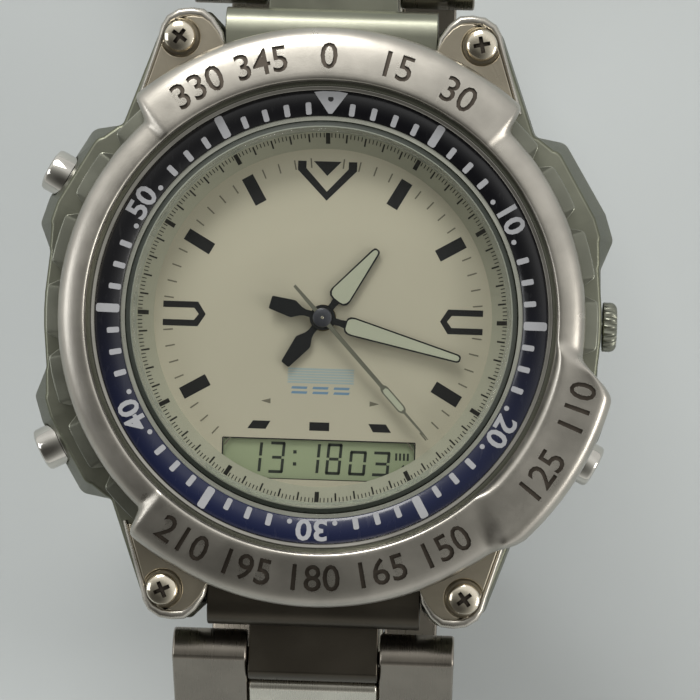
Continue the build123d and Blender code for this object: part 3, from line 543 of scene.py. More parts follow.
class Blank:
    """The points and faces of one piece, in millimetres."""

    def __init__(self) -> None:
        """Start empty."""
        self.points: list[Vector] = []
        self.faces: list[list[int]] = []

    def add(self, points: Row, faces: Iterable[Sequence[int]], turn: Matrix | None = None) -> None:
        """Add points and the faces between them.

        Args:
            points: the new points.
            faces: faces by the places of the new points.
            turn: a matrix that puts the points in place.
        """
        first = len(self.points)
        self.points.extend(turn @ Vector(point) if turn else Vector(point) for point in points)
        self.faces.extend([first + corner for corner in face] for face in faces)

    def weave(
        self,
        rows: Sequence[Row],
        turn: Matrix | None = None,
        closed: bool = True,
        ringed: bool = True,
        capped: bool = False,
    ) -> None:
        """Add a surface of four-sided faces through rows of points.

        Args:
            rows: rows with the same number of points.
            turn: a matrix that puts the points in place.
            closed: whether the last row meets the first.
            ringed: whether the two ends of each row meet.
            capped: whether a face fills the first row and another the last.
        """
        wide, count = len(rows[0]), len(rows)
        faces = []
        for row in range(count if closed else count - 1):
            here, after = row * wide, (row + 1) % count * wide
            for column in range(wide if ringed else wide - 1):
                beside = (column + 1) % wide
                faces.append((here + column, after + column, after + beside, here + beside))
        if capped:
            faces += [range(wide), range((count - 1) * wide, count * wide)]
        self.add([point for row in rows for point in row], faces, turn)

    def loft(self, rows: Sequence[Row], turn: Matrix | None = None) -> None:
        """Add a solid through rings of points, with a flat face at both ends."""
        self.weave(rows, turn, closed=False, capped=True)

    def spin(self, profile: Sequence[Flat], steps: int, turn: Matrix | None = None) -> None:
        """Add a surface turned round the local Z axis.

        Args:
            profile: radius and height of each point; it is a ring unless it meets the axis.
            steps: how many steps make the full turn.
            turn: a matrix that puts the points in place.
        """
        angles = [2.0 * pi * step / steps for step in range(steps)]
        rows = [[(r * cos(angle), r * sin(angle), z) for r, z in profile] for angle in angles]
        self.weave(rows, turn, ringed=all(r > 0.0 for r, _ in profile))

    def prism(self, outline: Sequence[Flat], under: float | Height, over: float | Height) -> None:
        """Add a plate between two heights.

        Args:
            outline: the plate's corners.
            under: its lower height, or a function that gives it at a point.
            over: its upper height, or a function that gives it at a point.
        """
        levels = [level if callable(level) else lambda x, y, z=level: z for level in (under, over)]
        self.loft([[(x, y, level(x, y)) for x, y in outline] for level in levels])

    def mark(
        self, outline: Sequence[Flat], floor: Height, rise: float, sink: float = SINK
    ) -> None:
        """Add a flat mark to a surface.

        Args:
            outline: the mark's corners.
            floor: the height of the surface.
            rise: how far the mark stands out of it.
            sink: how deep the mark starts under it.
        """
        self.prism(outline, lambda x, y: floor(x, y) - sink, lambda x, y: floor(x, y) + rise)

    def mesh(self, name: str, levels: Iterable[float] = ()) -> Mesh:
        """The blank as a Blender mesh.

        Args:
            name: the mesh's name.
            levels: heights at which open loops are filled, in millimetres.

        Returns:
            The mesh, in metres.
        """
        made = bpy.data.meshes.new(name)
        made.from_pydata([point * MM for point in self.points], [], self.faces)
        shaped = bmesh.new()
        shaped.from_mesh(made)
        bmesh.ops.remove_doubles(shaped, verts=shaped.verts, dist=1e-7)
        for level in levels:
            rim = [
                edge for edge in shaped.edges
                if edge.is_boundary and all(abs(v.co.z - level * MM) < 1e-6 for v in edge.verts)
            ]
            bmesh.ops.triangle_fill(shaped, use_beauty=True, use_dissolve=False, edges=rim)
        bmesh.ops.recalc_face_normals(shaped, faces=shaped.faces)
        shaped.to_mesh(made)
        shaped.free()
        return made


def turned(name: str, profile: Sequence[Flat], steps: int, turn: Matrix | None = None) -> Mesh:
    """Turn one profile round the Z axis.

    Args:
        name: the mesh's name.
        profile: radius and height of each point.
        steps: how many steps make the full turn.
        turn: a matrix that puts the points in place.

    Returns:
        The mesh, in metres.
    """
    blank = Blank()
    blank.spin(profile, steps, turn)
    return blank.mesh(name)


def marks(outlines: Iterable[Sequence[Flat]], floor: Height, rise: float) -> Mesh:
    """Make flat marks on a surface.

    Args:
        outlines: the corners of each mark.
        floor: the height of the surface.
        rise: how far the marks stand out of it.

    Returns:
        Their mesh, in metres.
    """
    blank = Blank()
    for outline in outlines:
        blank.mark(outline, floor, rise)
    return blank.mesh("marks")


def placed(name: str, data: bpy.types.ID) -> Item:
    """Put a new object that shows some data in the scene.

    Args:
        name: the object's name.
        data: its mesh, curve, lamp or camera.

    Returns:
        The object.
    """
    item = bpy.data.objects.new(name, data)
    bpy.context.scene.collection.objects.link(item)
    return item


def settled(item: Item) -> Mesh:
    """Take the mesh of an object with its modifiers applied, and remove the object.

    Args:
        item: the object.

    Returns:
        Its mesh.
    """
    bpy.context.view_layer.update()
    seen = item.evaluated_get(bpy.context.evaluated_depsgraph_get())
    mesh = bpy.data.meshes.new_from_object(seen)
    bpy.data.objects.remove(item)
    return mesh


def even(item: Item) -> None:
    """Let an object's large faces rule its shading."""
    item.modifiers.new("even_faces", "WEIGHTED_NORMAL").keep_sharp = True


def carve(mesh: Mesh, cutter: Mesh) -> Mesh:
    """Cut one closed mesh out of another; cut faces keep the cutter's finish.

    Args:
        mesh: the mesh that is cut.
        cutter: the mesh that is taken out of it.

    Returns:
        What is left.
    """
    body, tool = placed("carving", mesh), placed("carving", cutter)
    cut = body.modifiers.new("cut", "BOOLEAN")
    cut.object = tool
    cut.solver = "EXACT"
    cut.use_self = True
    cut.material_mode = "TRANSFER"
    result = settled(body)
    bpy.data.objects.remove(tool)
    return result


def numerals(text: str, height: float, weight: float, depth: float = 0.0) -> Mesh:
    """Flat or solid numerals, centred on their own origin, in millimetres.

    Args:
        text: the digits.
        height: the digits' height.
        weight: how far their strokes are thickened.
        depth: how far they reach to each side of their plane.

    Returns:
        Their mesh.
    """
    curve = bpy.data.curves.new("numerals", "FONT")
    curve.body = text
    curve.size = height / FIGURE_SHARE
    curve.offset = weight
    curve.extrude = depth
    curve.align_x = "CENTER"
    curve.resolution_u = 3
    mesh = settled(placed("numerals", curve))
    heights = [vertex.co.y for vertex in mesh.vertices]
    middle = (min(heights) + max(heights)) / 2.0
    for vertex in mesh.vertices:
        vertex.co.y -= middle
    return mesh


def lay_round(
    blank: Blank, mesh: Mesh, clock: float, radius: float, surface: Height, tops_out: bool
) -> None:
    """Bend numerals round the dial and lay them on a surface.

    Args:
        blank: what they are added to.
        mesh: the numerals, in millimetres.
        clock: the clock angle of their middle.
        radius: the radius of their middle.
        surface: the height of the surface.
        tops_out: whether their tops point outwards.
    """
    way = 1.0 if tops_out else -1.0
    points = []
    for vertex in mesh.vertices:
        x, y = polar(radius + way * vertex.co.y, clock + way * degrees(vertex.co.x / radius))
        points.append((x, y, surface(x, y) + vertex.co.z))
    blank.add(points, [tuple(face.vertices) for face in mesh.polygons])


# Sub-assemblies


@dataclass
class SubAssembly:
    """What the sub-assemblies share: how their meshes become pieces of the watch."""

    body: str = "case"

    def piece(
        self,
        name: str,
        mesh: Mesh,
        finish: Finish,
        slot: str,
        replaces: Sequence[str] = (),
        smooth: float = 35.0,
        bevel: float = 0.0,
    ) -> Item:
        """Put a piece on its body.

        Args:
            name: the piece's name.
            mesh: its mesh, in metres.
            finish: its finish, unless the mesh already has materials.
            slot: not used.
            replaces: the CAD nodes that it stands for.
            smooth: edges sharper than this many degrees stay sharp, or are rounded.
            bevel: the width of its rounded edges, in millimetres.

        Returns:
            The piece.
        """
        mesh.name = name
        if not any(mesh.materials):
            mesh.materials.clear()
            mesh.materials.append(finish.material())
        made = placed(name, mesh)
        mesh.shade_smooth()
        if bevel:
            rounding = made.modifiers.new("rounded_edges", "BEVEL")
            rounding.width = bevel * MM
            rounding.segments = 3
            rounding.limit_method = "ANGLE"
            rounding.angle_limit = radians(smooth)
            rounding.use_clamp_overlap = False
            even(made)
        else:
            mesh.set_sharp_from_angle(angle=radians(smooth))
        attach(made, self.body)
        if replaces:
            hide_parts(*replaces)
        LOG.info("%s rides on %s", name, self.body)
        return made

    def soften(
        self, node: str, name: str, width: float, finish: Finish, slot: str, smooth: float = 33.0
    ) -> Item:
        """Stand a copy of a CAD node with rounded edges in its place.

        Args:
            node: the CAD node.
            name: the piece's name.
            width: the width of its rounded edges, in millimetres.
            finish: its finish.
            slot: the record's material slot for it.
            smooth: edges sharper than this many degrees are rounded.

        Returns:
            The piece.
        """
        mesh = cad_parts[node].data.copy()
        mesh.materials.clear()
        shaped = bmesh.new()
        shaped.from_mesh(mesh)
        bmesh.ops.remove_doubles(shaped, verts=shaped.verts, dist=1e-7)
        flat = radians(1.0)
        bmesh.ops.dissolve_limit(shaped, angle_limit=flat, verts=shaped.verts, edges=shaped.edges)
        shaped.to_mesh(mesh)
        shaped.free()
        return self.piece(name, mesh, finish, slot, [node], smooth, width)

    def finish_node(self, node: str, finish: Finish) -> None:
        """Give a CAD node that shows as it is a better material.

        Args:
            node: the CAD node.
            finish: its finish.
        """
        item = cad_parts[node]
        item.data.materials.clear()
        item.data.materials.append(finish.material())
        LOG.info("%s keeps its shape, finished as %s", node, finish.name)


@dataclass
class Case(SubAssembly):
    """The case with its lugs, the end links, the spring bars and the screwed back."""

    floor: float = 37.568
    waist: float = 40.868
    deck: float = DECK
    top_inset: float = 0.3
    floor_inset: float = 1.1
    edge: float = 0.28
    bore: float = 16.6
    neck_inner: float = 16.0
    neck_outer: float = 17.2
    neck_top: float = 47.118
    stem: float = STEM
    pocket: Flat = (1.95, 21.2)
    stem_hole: Flat = (0.75, 17.0)
    pocket_depth: float = 8.0
    bead: float = 0.4
    bead_rise: float = 0.68
    bead_steps: int = 11
    lip_half: float = 8.78
    lip_floor: float = 41.4
    softened: float = 0.12

    def corners(self) -> list[tuple[float, float, float, float]]:
        """Each corner of the case from above: its place, its rounding and its flare at the top.

        Returns:
            Each corner's x, y, rounding and flare, clockwise.
        """
        quarter = [
            (8.9, 21.4, 0.3, 0.0), (8.9, 24.0, 0.5, 0.0), (10.2, 25.3, 0.6, 0.0),
            (12.5, 25.3, 0.9, 0.0), (14.2, 24.0, 0.9, 0.0), (17.2, 15.65, 0.7, 0.0),
            (19.7, 15.2, 1.1, 0.7), (23.2, 9.4, 1.2, 0.8), (23.9, 7.2, 0.8, 0.8),
            (22.95, 4.8, 0.9, 0.0),
        ]
        arc = [polar(23.1, 90.0 - degrees(0.06 * step)) for step in (2, 1, 0, -1, -2)]
        right = [*quarter, *((x, y, 0.0, -0.2) for x, y in arc)]
        right += [(x, -y, r, flare) for x, y, r, flare in reversed(quarter)]
        return [*right, *((-x, -y, r, flare) for x, y, r, flare in right)]

    def outline(self, inset: float, flared: float = 0.0) -> list[Flat]:
        """The case's outline, drawn in by an inset, with rounded corners.

        Args:
            inset: how far inside the widest outline it lies.
            flared: how much of each corner's own flare draws it in further.

        Returns:
            Its points, clockwise, the same number for every inset.
        """
        shape = [(Vector((x, y)), r, inset + flared * flare) for x, y, r, flare in self.corners()]
        points = []
        for index, (corner, radius, drawn) in enumerate(shape):
            before = (corner - shape[index - 1][0]).normalized()
            after = (shape[(index + 1) % len(shape)][0] - corner).normalized()
            inward = Vector((before.y, -before.x)) + Vector((after.y, -after.x))
            middle = corner + inward * (drawn / (1.0 + before.dot(after)))
            turn = before.angle(after, 0.0)
            if radius == 0.0 or turn < 0.05:
                points.append(tuple(middle))
                continue
            reach = radius * sin(turn / 2.0) / cos(turn / 2.0)
            for t in (step / 6.0 for step in range(7)):
                ends = before * reach * (1.0 - t) ** 2, after * reach * t**2
                points.append(tuple(middle - ends[0] + ends[1]))
        return points

    def shell(self) -> Mesh:
        """The case's body: flanks, rounded edges, a deck with its bore, and the floor.

        Returns:
            Its mesh, in metres.
        """
        levels = [
            (self.floor, self.floor_inset + 0.2, 0.0), (self.floor + 0.2, self.floor_inset, 0.0),
            (self.waist - 0.15, 0.06, 0.0), (self.waist, 0.0, 0.0), (self.waist + 0.15, 0.02, 0.0),
        ]
        for turn in (step * pi / 8.0 for step in range(5)):
            inset = self.top_inset + self.edge * (1.0 - cos(turn))
            levels.append((self.deck - self.edge * (1.0 - sin(turn)), inset, 1.0))
        rows = [[(x, y, z) for x, y in self.outline(inset, flared)] for z, inset, flared in levels]
        blank = Blank()
        blank.weave(rows, closed=False)
        bore = [polar(self.bore, -3.0 * step) for step in range(120)]
        ends = (self.floor, self.deck)
        blank.weave([[(x, y, z) for x, y in bore] for z in ends], closed=False)
        return blank.mesh("case", ends)

    def pockets(self) -> Mesh:
        """The round pockets that the push buttons and the crown's stem sit in.

        Returns:
            Their mesh, in metres.
        """
        blank = Blank()
        pushers = [(clock, *self.pocket) for clock in (297.0, 243.0, 117.0)]
        for clock, r, start in (*pushers, (90.0, *self.stem_hole)):
            profile = [(0.0, 0.0), (r, 0.0), (r, self.pocket_depth), (0.0, self.pocket_depth)]
            blank.spin(profile, 40, outward(clock, start, self.stem))
        return blank.mesh("pockets")

    def neck(self) -> Mesh:
        """The raised ring that holds the glass.

        Returns:
            Its mesh, in metres.
        """
        inner, outer, low, top = self.neck_inner, self.neck_outer, self.floor + 0.1, self.neck_top
        profile = [
            (inner, low), (outer, low), (outer, top - 0.12), (outer - 0.12, top),
            (inner + 0.1, top), (inner, top - 0.1),
        ]
        return turned("neck", profile, 240)

    def beads(self) -> Mesh:
        """The rounded ridges that run round the four ears.

        Returns:
            Their mesh, in metres.
        """
        path = [
            (8.95, 22.0, 0.3), (9.2, 23.1, 0.36), (9.95, 24.15, 0.42), (10.7, 24.72, 0.44),
            (11.6, 24.8, 0.44), (12.5, 24.68, 0.44), (13.3, 24.2, 0.42), (13.72, 23.55, 0.36),
            (14.05, 22.5, 0.27), (14.7, 20.4, 0.24), (15.4, 18.15, 0.24), (15.7, 17.2, 0.2),
        ]
        rows = []
        for index, (x, y, half) in enumerate(path):
            ends = path[max(index - 1, 0)], path[min(index + 1, len(path) - 1)]
            along = (Vector(ends[1][:2]) - Vector(ends[0][:2])).normalized()
            row = []
            for step in range(self.bead_steps + 1):
                turn = pi * step / self.bead_steps
                spot = Vector((x, y)) + Vector((along.y, -along.x)) * half * cos(turn)
                rise = -0.1
                if 0 < step < self.bead_steps:
                    rise = self.bead_rise * (half / self.bead) ** 0.6 * sin(turn) ** 0.7
                row.append((spot.x, spot.y, self.deck + min(rise, self.bead_rise + SINK)))
            rows.append(row)
        blank = Blank()
        for way_x, way_y in QUARTERS:
            blank.loft([[(way_x * x, way_y * y, z) for x, y, z in row] for row in rows])
        return blank.mesh("beads")

    def lip(self, way: float) -> Mesh:
        """The top of an end link, which slopes down between the lugs to the first row.

        Args:
            way: 1 for the end at 12 o'clock, -1 for the end at 6 o'clock.

        Returns:
            Its mesh.
        """
        side = [
            (21.6, 44.45), (23.4, 44.45), (24.4, 44.3), (25.1, 43.9), (25.5, 43.2), (25.64, 42.4),
            (25.6, 41.6), (25.4, self.lip_floor), (21.6, self.lip_floor),
        ]
        blank = Blank()
        blank.loft([[(x, way * y, z) for y, z in side] for x in (-self.lip_half, self.lip_half)])
        return blank.mesh("lip")

    def build(self) -> None:
        """Make the case and dress what goes with it."""
        body = carve(self.shell(), self.pockets())
        body.materials.clear()
        # painted shade: every face but the upward ones takes the darker flank steel
        for finish in (SHADED_FLANK, OLIVE):
            body.materials.append(finish.material())
        for face in body.polygons:
            face.material_index = int(face.normal.z > 0.9)
        self.piece("case_body", body, SHADED_FLANK, "satin_steel", ["case"], 30.0)
        self.piece("case_neck", self.neck(), NECK, "satin_steel", (), 30.0)
        self.piece("lug_beads", self.beads(), SATIN, "satin_steel", (), 60.0)
        # painted shade: the end link at 6 o'clock is painted near black; the one at 12 keeps the
        # olive steel
        ends = (("12", "top", 1.0, OLIVE), ("6", "foot", -1.0, SHADOWED_STEEL))
        for node, end, _, finish in ends:
            name = f"end_link_{end}"
            self.soften(f"end_link_{node}", name, self.softened, finish, "satin_steel")
        for _, end, way, finish in ends:
            name = f"end_link_lip_{end}"
            self.piece(name, self.lip(way), finish, "satin_steel", (), 40.0, 0.1)
        self.soften("case_back", "case_back_plate", 0.14, TURNED, "satin_steel", 40.0)
        for node, finish in (
            ("lug_spring_bars", SPRING), ("movement", PLASTIC), ("battery", POLISHED),
            ("lcd_panel", DISPLAY),
        ):
            self.finish_node(node, finish)


@dataclass
class GuardCover(SubAssembly):
    """The cast guard ring over the bezel, with its engraved panels, wing, ears and screws."""

    under: float = 47.218
    deck: float = DECK
    panels: tuple[Flat, Flat] = ((46.0, 88.0), (228.0, 90.0))
    panel_ramp: float = 2.4
    wing: Flat = (312.0, 45.0)
    wing_ramps: Flat = (8.0, 4.0)
    wing_slant: float = 0.7
    wing_base: float = 19.3
    steps: int = 540
    panel_crest: tuple[float, float, float] = (1.98, 20.3, 0.2)
    wing_crest: tuple[float, float, float] = (1.96, 22.6, 0.0)
    ear_height: float = 1.0
    ear_inner: float = 22.9
    ear_fall: float = 0.28
    digit_height: float = 2.2
    digit_weight: float = 0.03
    digit_depth: float = 0.22
    wing_numbers: tuple[tuple[float, str], ...] = ((108.0, "110"), (124.0, "125"))
    panel_digits: float = 21.25
    wing_digits: float = 22.1
    screw_x: float = 12.4
    screw_y: float = 22.7
    screw_radius: float = 1.3
    screw_rise: float = 0.8
    screw_turns: tuple[float, ...] = (12.0, 38.0, 55.0, 25.0)
    seat_depth: float = 0.25

    def sections(self) -> Iterable[tuple[Flat, Flat, Flat]]:
        """Each point's radius and height in the narrow, the panelled and the winged section.

        Returns:
            Three points, one of each section, for each place round them.
        """
        foot = self.deck - self.under
        narrow = [
            (19.22, 0.05), (19.22, 1.5), (19.24, 1.74), (19.34, 1.86), (19.6, 1.88),
            (20.1, 1.8), (20.6, 1.67), (21.0, 1.5), (21.35, 1.2), (21.52, 0.85),
            (21.55, 0.45), (21.52, 0.1), (21.2, 0.0), (21.0, 0.0), (20.0, 0.0),
        ]
        panelled = [
            (19.22, 0.05), (19.22, 1.66), (19.24, 1.94), (19.34, 2.07), (19.6, 2.1),
            (20.3, 1.99), (22.1, 1.64), (22.9, 1.35), (23.45, 0.95), (23.72, 0.35),
            (23.75, -0.6), (23.72, foot + 0.05), (23.1, foot + 0.05), (23.05, -0.1), (20.0, 0.0),
        ]
        winged = [
            (19.22, 0.05), (19.22, 1.0), (19.32, 1.45), (19.6, 1.9), (19.95, 2.14),
            (20.5, 2.04), (21.7, 1.93), (23.2, 1.96), (23.9, 2.04), (24.4, 1.65),
            (24.68, 0.9), (24.6, -0.2), (23.3, foot + 0.9), (23.05, -0.1), (20.0, 0.0),
        ]
        return zip(narrow, panelled, winged)

    @staticmethod
    def share(angle: float, start: float, span: float, ramp: float) -> float:
        """How much of a raised stretch there is at an angle, from 0 to 1.

        Args:
            angle: the angle, counter-clockwise from 3 o'clock, in degrees.
            start: where the stretch starts.
            span: how far it reaches.
            ramp: how far it takes to rise at each end.

        Returns:
            The share.
        """
        reach = (angle - start) % FULL_TURN
        return ease(min(reach, span - reach) / ramp)

    def surface(self) -> Mesh:
        """The ring's cast surface, as one closed mesh.

        Returns:
            Its mesh, in metres.
        """
        shapes = list(self.sections())
        rows = []
        for step in range(self.steps):
            angle = FULL_TURN * step / self.steps
            panel = max(self.share(angle, *ends, self.panel_ramp) for ends in self.panels)
            row = []
            for narrow, raised, winged in shapes:
                r, z = (a + (b - a) * panel for a, b in zip(narrow, raised))
                slanted = angle + self.wing_slant * (r - narrow[0] + winged[0] - self.wing_base)
                out, up = (self.share(slanted, *self.wing, ramp) for ramp in self.wing_ramps)
                r += (winged[0] - r) * out
                z += (winged[1] - z) * up
                row.append((r * cos(radians(angle)), r * sin(radians(angle)), self.under + z))
            rows.append(row)
        blank = Blank()
        blank.weave(rows)
        item = placed("guard", blank.mesh("guard"))
        smoothing = item.modifiers.new("smoothing", "SUBSURF")
        smoothing.levels = smoothing.render_levels = 1
        return settled(item)

    def engraving(self) -> Mesh:
        """Plain compass numbers that are cut into the panels and the wing; the cut faces take a
        dark steel as painted shade.

        Returns:
            Their mesh, in metres.
        """
        panel, wing = self.falling(*self.panel_crest), self.falling(*self.wing_crest)
        clocks = (330, 345, 0, 15, 30, 150, 165, 180, 195, 210)
        numbers = [(clock, str(clock), self.panel_digits, panel) for clock in clocks]
        numbers += [(clock, text, self.wing_digits, wing) for clock, text in self.wing_numbers]
        blank = Blank()
        for clock, text, radius, surface in numbers:
            solid = numerals(text, self.digit_height, self.digit_weight, self.digit_depth)
            lay_round(blank, solid, clock, radius, surface, cos(radians(clock)) > 0.0)
        mesh = blank.mesh("engraving")
        mesh.materials.append(SHADED_ENGRAVING.material())
        return mesh

    def falling(self, rise: float, crest: float, fall: float) -> Height:
        """The height of a part of the ring that falls away outside its crest."""
        return lambda x, y: self.under + rise - fall * max(0.0, hypot(x, y) - crest)

    def ear_top(self, x: float, y: float) -> float:
        """The height of an ear, which falls away towards the lug's tip."""
        return self.deck + self.ear_height - self.ear_fall * ease((hypot(x, y) - 23.6) / 4.0)

    def ears(self) -> Mesh:
        """The four ears, each with a round seat for its screw.

        Returns:
            Their mesh, in metres.
        """
        arc = [polar(self.ear_inner, 90.0 - angle) for angle in range(50, 67, 2)]
        outline = [
            (8.6, 21.9), (9.0, 22.7), (9.35, 23.3), (9.95, 24.0), (10.6, 24.42), (11.5, 24.5),
            (12.5, 24.36), (13.1, 23.95), (13.45, 23.4), (13.85, 22.4), (14.5, 20.3),
            (15.2, 18.1), (15.35, 17.4), *arc,
        ]
        reach, low = self.screw_radius + 0.28, -self.seat_depth
        seat = [(0.0, low), (reach - 0.1, low), (reach, low + 0.1), (reach + 0.12, 0.3), (0.0, 0.3)]
        top = self.ear_top(self.screw_x, self.screw_y)
        blank, seats = Blank(), Blank()
        for way_x, way_y in QUARTERS:
            blank.prism(mirrored(outline, way_x, way_y), self.deck, self.ear_top)
            place = (way_x * self.screw_x, way_y * self.screw_y, top)
            seats.spin(seat, 40, Matrix.Translation(place))
        return carve(blank.mesh("ears"), seats.mesh("seats"))

    @staticmethod
    def cross(reach: float, half: float, level: float) -> Row:
        """Draw a cross.

        Args:
            reach: how far its arms reach.
            half: half their width.
            level: its height.

        Returns:
            Its corners.
        """
        arm = [(reach, -half), (reach, half), (half, half)]
        return [
            (x * cos(q) - y * sin(q), x * sin(q) + y * cos(q), level)
            for q in (0.0, pi / 2.0, pi, 1.5 * pi) for x, y in arm
        ]

    def screws(self) -> Mesh:
        """Four domed screw heads with cross recesses, painted dark inside as painted shade.

        Returns:
            Their mesh, in metres.
        """
        top = self.deck + self.ear_height
        r, rise, low = self.screw_radius, self.screw_rise, -self.seat_depth + 0.02
        head = [
            (0.0, rise), (0.55, rise - 0.02), (0.95, rise - 0.09), (1.18, rise - 0.2),
            (r - 0.03, rise - 0.36), (r, rise - 0.5), (r, low), (0.0, low),
        ]
        recess = [self.cross(0.5, 0.12, rise - 0.5), self.cross(0.84, 0.2, rise + 0.3)]
        heads, crosses = Blank(), Blank()
        for (way_x, way_y), turn in zip(QUARTERS, self.screw_turns):
            place = Matrix.Translation((way_x * self.screw_x, way_y * self.screw_y, top))
            place = place @ Matrix.Rotation(radians(turn), 4, "Z")
            heads.spin(head, 48, place)
            crosses.loft(recess, place)
        mesh, cutter = heads.mesh("heads"), crosses.mesh("crosses")
        mesh.materials.append(BRIGHT.material())
        cutter.materials.append(SHADED_ENGRAVING.material())
        return carve(mesh, cutter)

    def build(self) -> None:
        """Make the ring, its ears and its screws."""
        ring = self.surface()
        ring.materials.append(SATIN.material())
        ring = carve(ring, self.engraving())
        even(self.piece("guard_cover", ring, SATIN, "satin_steel", ["guard_ring"], 62.0))
        self.piece("guard_ears", self.ears(), EAR, "satin_steel", (), 35.0, 0.12)
        self.piece("screw_heads", self.screws(), BRIGHT, "polished_steel", ["guard_screws"], 30.0)


@dataclass
class Bezel(SubAssembly):
    """The turning bezel with its grip, and the insert with its minute scale."""

    body: str = "bezel"
    inner: float = 16.45
    outer: float = 18.5
    floor: float = 47.268
    inner_top: float = 47.50
    outer_top: float = 47.70
    slip: float = 0.7
    grip_floor: float = 45.018
    grip_top: float = 47.018
    bore: float = 17.3
    rim: float = 19.08
    lip: float = 18.9
    waist: float = 21.6
    reach: float = 22.6
    soft: float = 0.12
    teeth: int = 24
    film: float = 0.004
    ink: float = 0.02
    rounding: float = 0.28
    long_bar: Bar = (16.52, 18.42, 0.7)
    short_bar: Bar = (16.56, 17.56, 0.46)
    numeral_radius: float = 17.42
    numeral_height: float = 1.7
    numeral_weight: float = 0.06
    numeral_stretch: float = 1.14
    numeral_rise: float = 0.012
    spot_radius: float = 16.85
    spot_size: float = 0.21
    spot_side: float = 6.3

    def grip(self) -> Mesh:
        """The ring of broad teeth under the guard ring, with the insert's seat.

        Returns:
            Its mesh, in metres.
        """
        half = [
            (-0.43, 0.0), (-0.40, 0.3), (-0.345, 0.86), (-0.32, 0.97), (-0.28, 1.0), (-0.1, 1.0),
        ]
        low, top, soft = self.grip_floor, self.grip_top, self.soft
        rows = []
        for tooth in range(self.teeth):
            for share, height in [*half, *mirrored(half, -1)[::-1]]:
                angle = radians((tooth + share) * FULL_TURN / self.teeth)
                out = self.waist + height * (self.reach - self.waist)
                row = [
                    (self.bore, low), (out - soft, low), (out, low + soft), (out, top - soft),
                    (out - 0.035, top - 0.035), (out - soft, top), (self.rim, top),
                    (self.rim, self.floor), (self.bore, self.floor),
                ]
                rows.append([(r * cos(angle), r * sin(angle), z) for r, z in row])
        blank = Blank()
        blank.weave(rows)
        return blank.mesh("grip")

    def rim_ring(self) -> Mesh:
        """The bright lip round the insert.

        Returns:
            Its mesh, in metres.
        """
        inner, lip, high = self.outer + 0.02, self.lip, self.outer_top
        profile = [
            (inner, self.floor), (lip, self.floor), (lip, high - 0.1), (lip - 0.05, high - 0.01),
            (lip - 0.12, high), (inner + 0.08, high - 0.1), (inner + 0.03, high - 0.09),
            (inner, high - 0.12),
        ]
        return turned("rim_ring", profile, 360)

    def top(self, x: float, y: float) -> float:
        """The height of the dished insert at a point."""
        share = (hypot(x, y) - self.inner) / (self.outer - self.inner)
        return self.inner_top + share * (self.outer_top - self.inner_top) + self.film

    def raised(self, x: float, y: float) -> float:
        """The height of the numerals on the insert at a point."""
        return self.top(x, y) + self.numeral_rise

    def insert(self) -> Mesh:
        """The dished ring.

        Returns:
            Its mesh, in metres.
        """
        edge = 0.06
        profile = [
            (self.inner, self.floor), (self.inner, self.inner_top - edge),
            (self.inner + edge, self.inner_top), (self.outer - edge, self.outer_top - self.film),
            (self.outer, self.outer_top - edge), (self.outer, self.floor),
        ]
        return turned("insert", profile, 360)

    def scale(self) -> Mesh:
        """The minute scale: bars, a triangle with a dot, and plain numerals.

        Returns:
            Its mesh, in metres.
        """
        blank = Blank()
        spot = [polar(self.spot_size, 90.0 - 22.5 * step) for step in range(16)]
        triangle = [
            (18.38, 4.3), (16.62, 0.5), (16.62, -0.5), (18.38, -4.3), (18.45, -2.0), (18.45, 2.0),
        ]
        outlines = [[polar(r, side + self.slip) for r, side in triangle]]
        for minute in range(1, 60):
            clock = minute * 6.0 + self.slip
            if minute % 10 == 0:
                digits = numerals(str(minute), self.numeral_height, self.numeral_weight)
                for vertex in digits.vertices:
                    vertex.co.x *= self.numeral_stretch
                lay_round(blank, digits, clock, self.numeral_radius, self.raised, True)
                for side in (-self.spot_side, self.spot_side):
                    outlines.append(shifted(spot, *polar(self.spot_radius, clock + side)))
            elif minute % 5 == 0 or minute < 5 or minute > 55 or minute % 10 not in (1, 9):
                bar = self.long_bar if minute % 5 == 0 else self.short_bar
                outlines.append(spoke(clock, *bar, bar[2] * self.rounding))
        for outline in outlines:
            blank.mark(outline, self.top, self.ink, 0.0)
        return blank.mesh("scale")

    def dot(self) -> Mesh:
        """The dark dot in the triangle.

        Returns:
            Its mesh, in metres.
        """
        x, y = polar(17.85, self.slip)
        place = Matrix.Translation((x, y, self.top(x, y)))
        return turned("dot", [(0.0, 0.035), (0.22, 0.034), (0.25, 0.0), (0.0, -0.02)], 24, place)

    def build(self) -> None:
        """Make the grip, the insert and its scale."""
        self.piece("bezel_grip", self.grip(), GRIP, "polished_steel", ["rotating_bezel"], 25.0)
        self.piece("bezel_rim", self.rim_ring(), POLISHED, "polished_steel", (), 50.0)
        self.piece("insert_ring", self.insert(), INSERT, "insert_navy", ["bezel_insert"], 50.0)
        self.piece("insert_scale", self.scale(), SILVER_INK, "insert_navy")
        self.piece("insert_dot", self.dot(), BLACK_INK, "insert_navy")


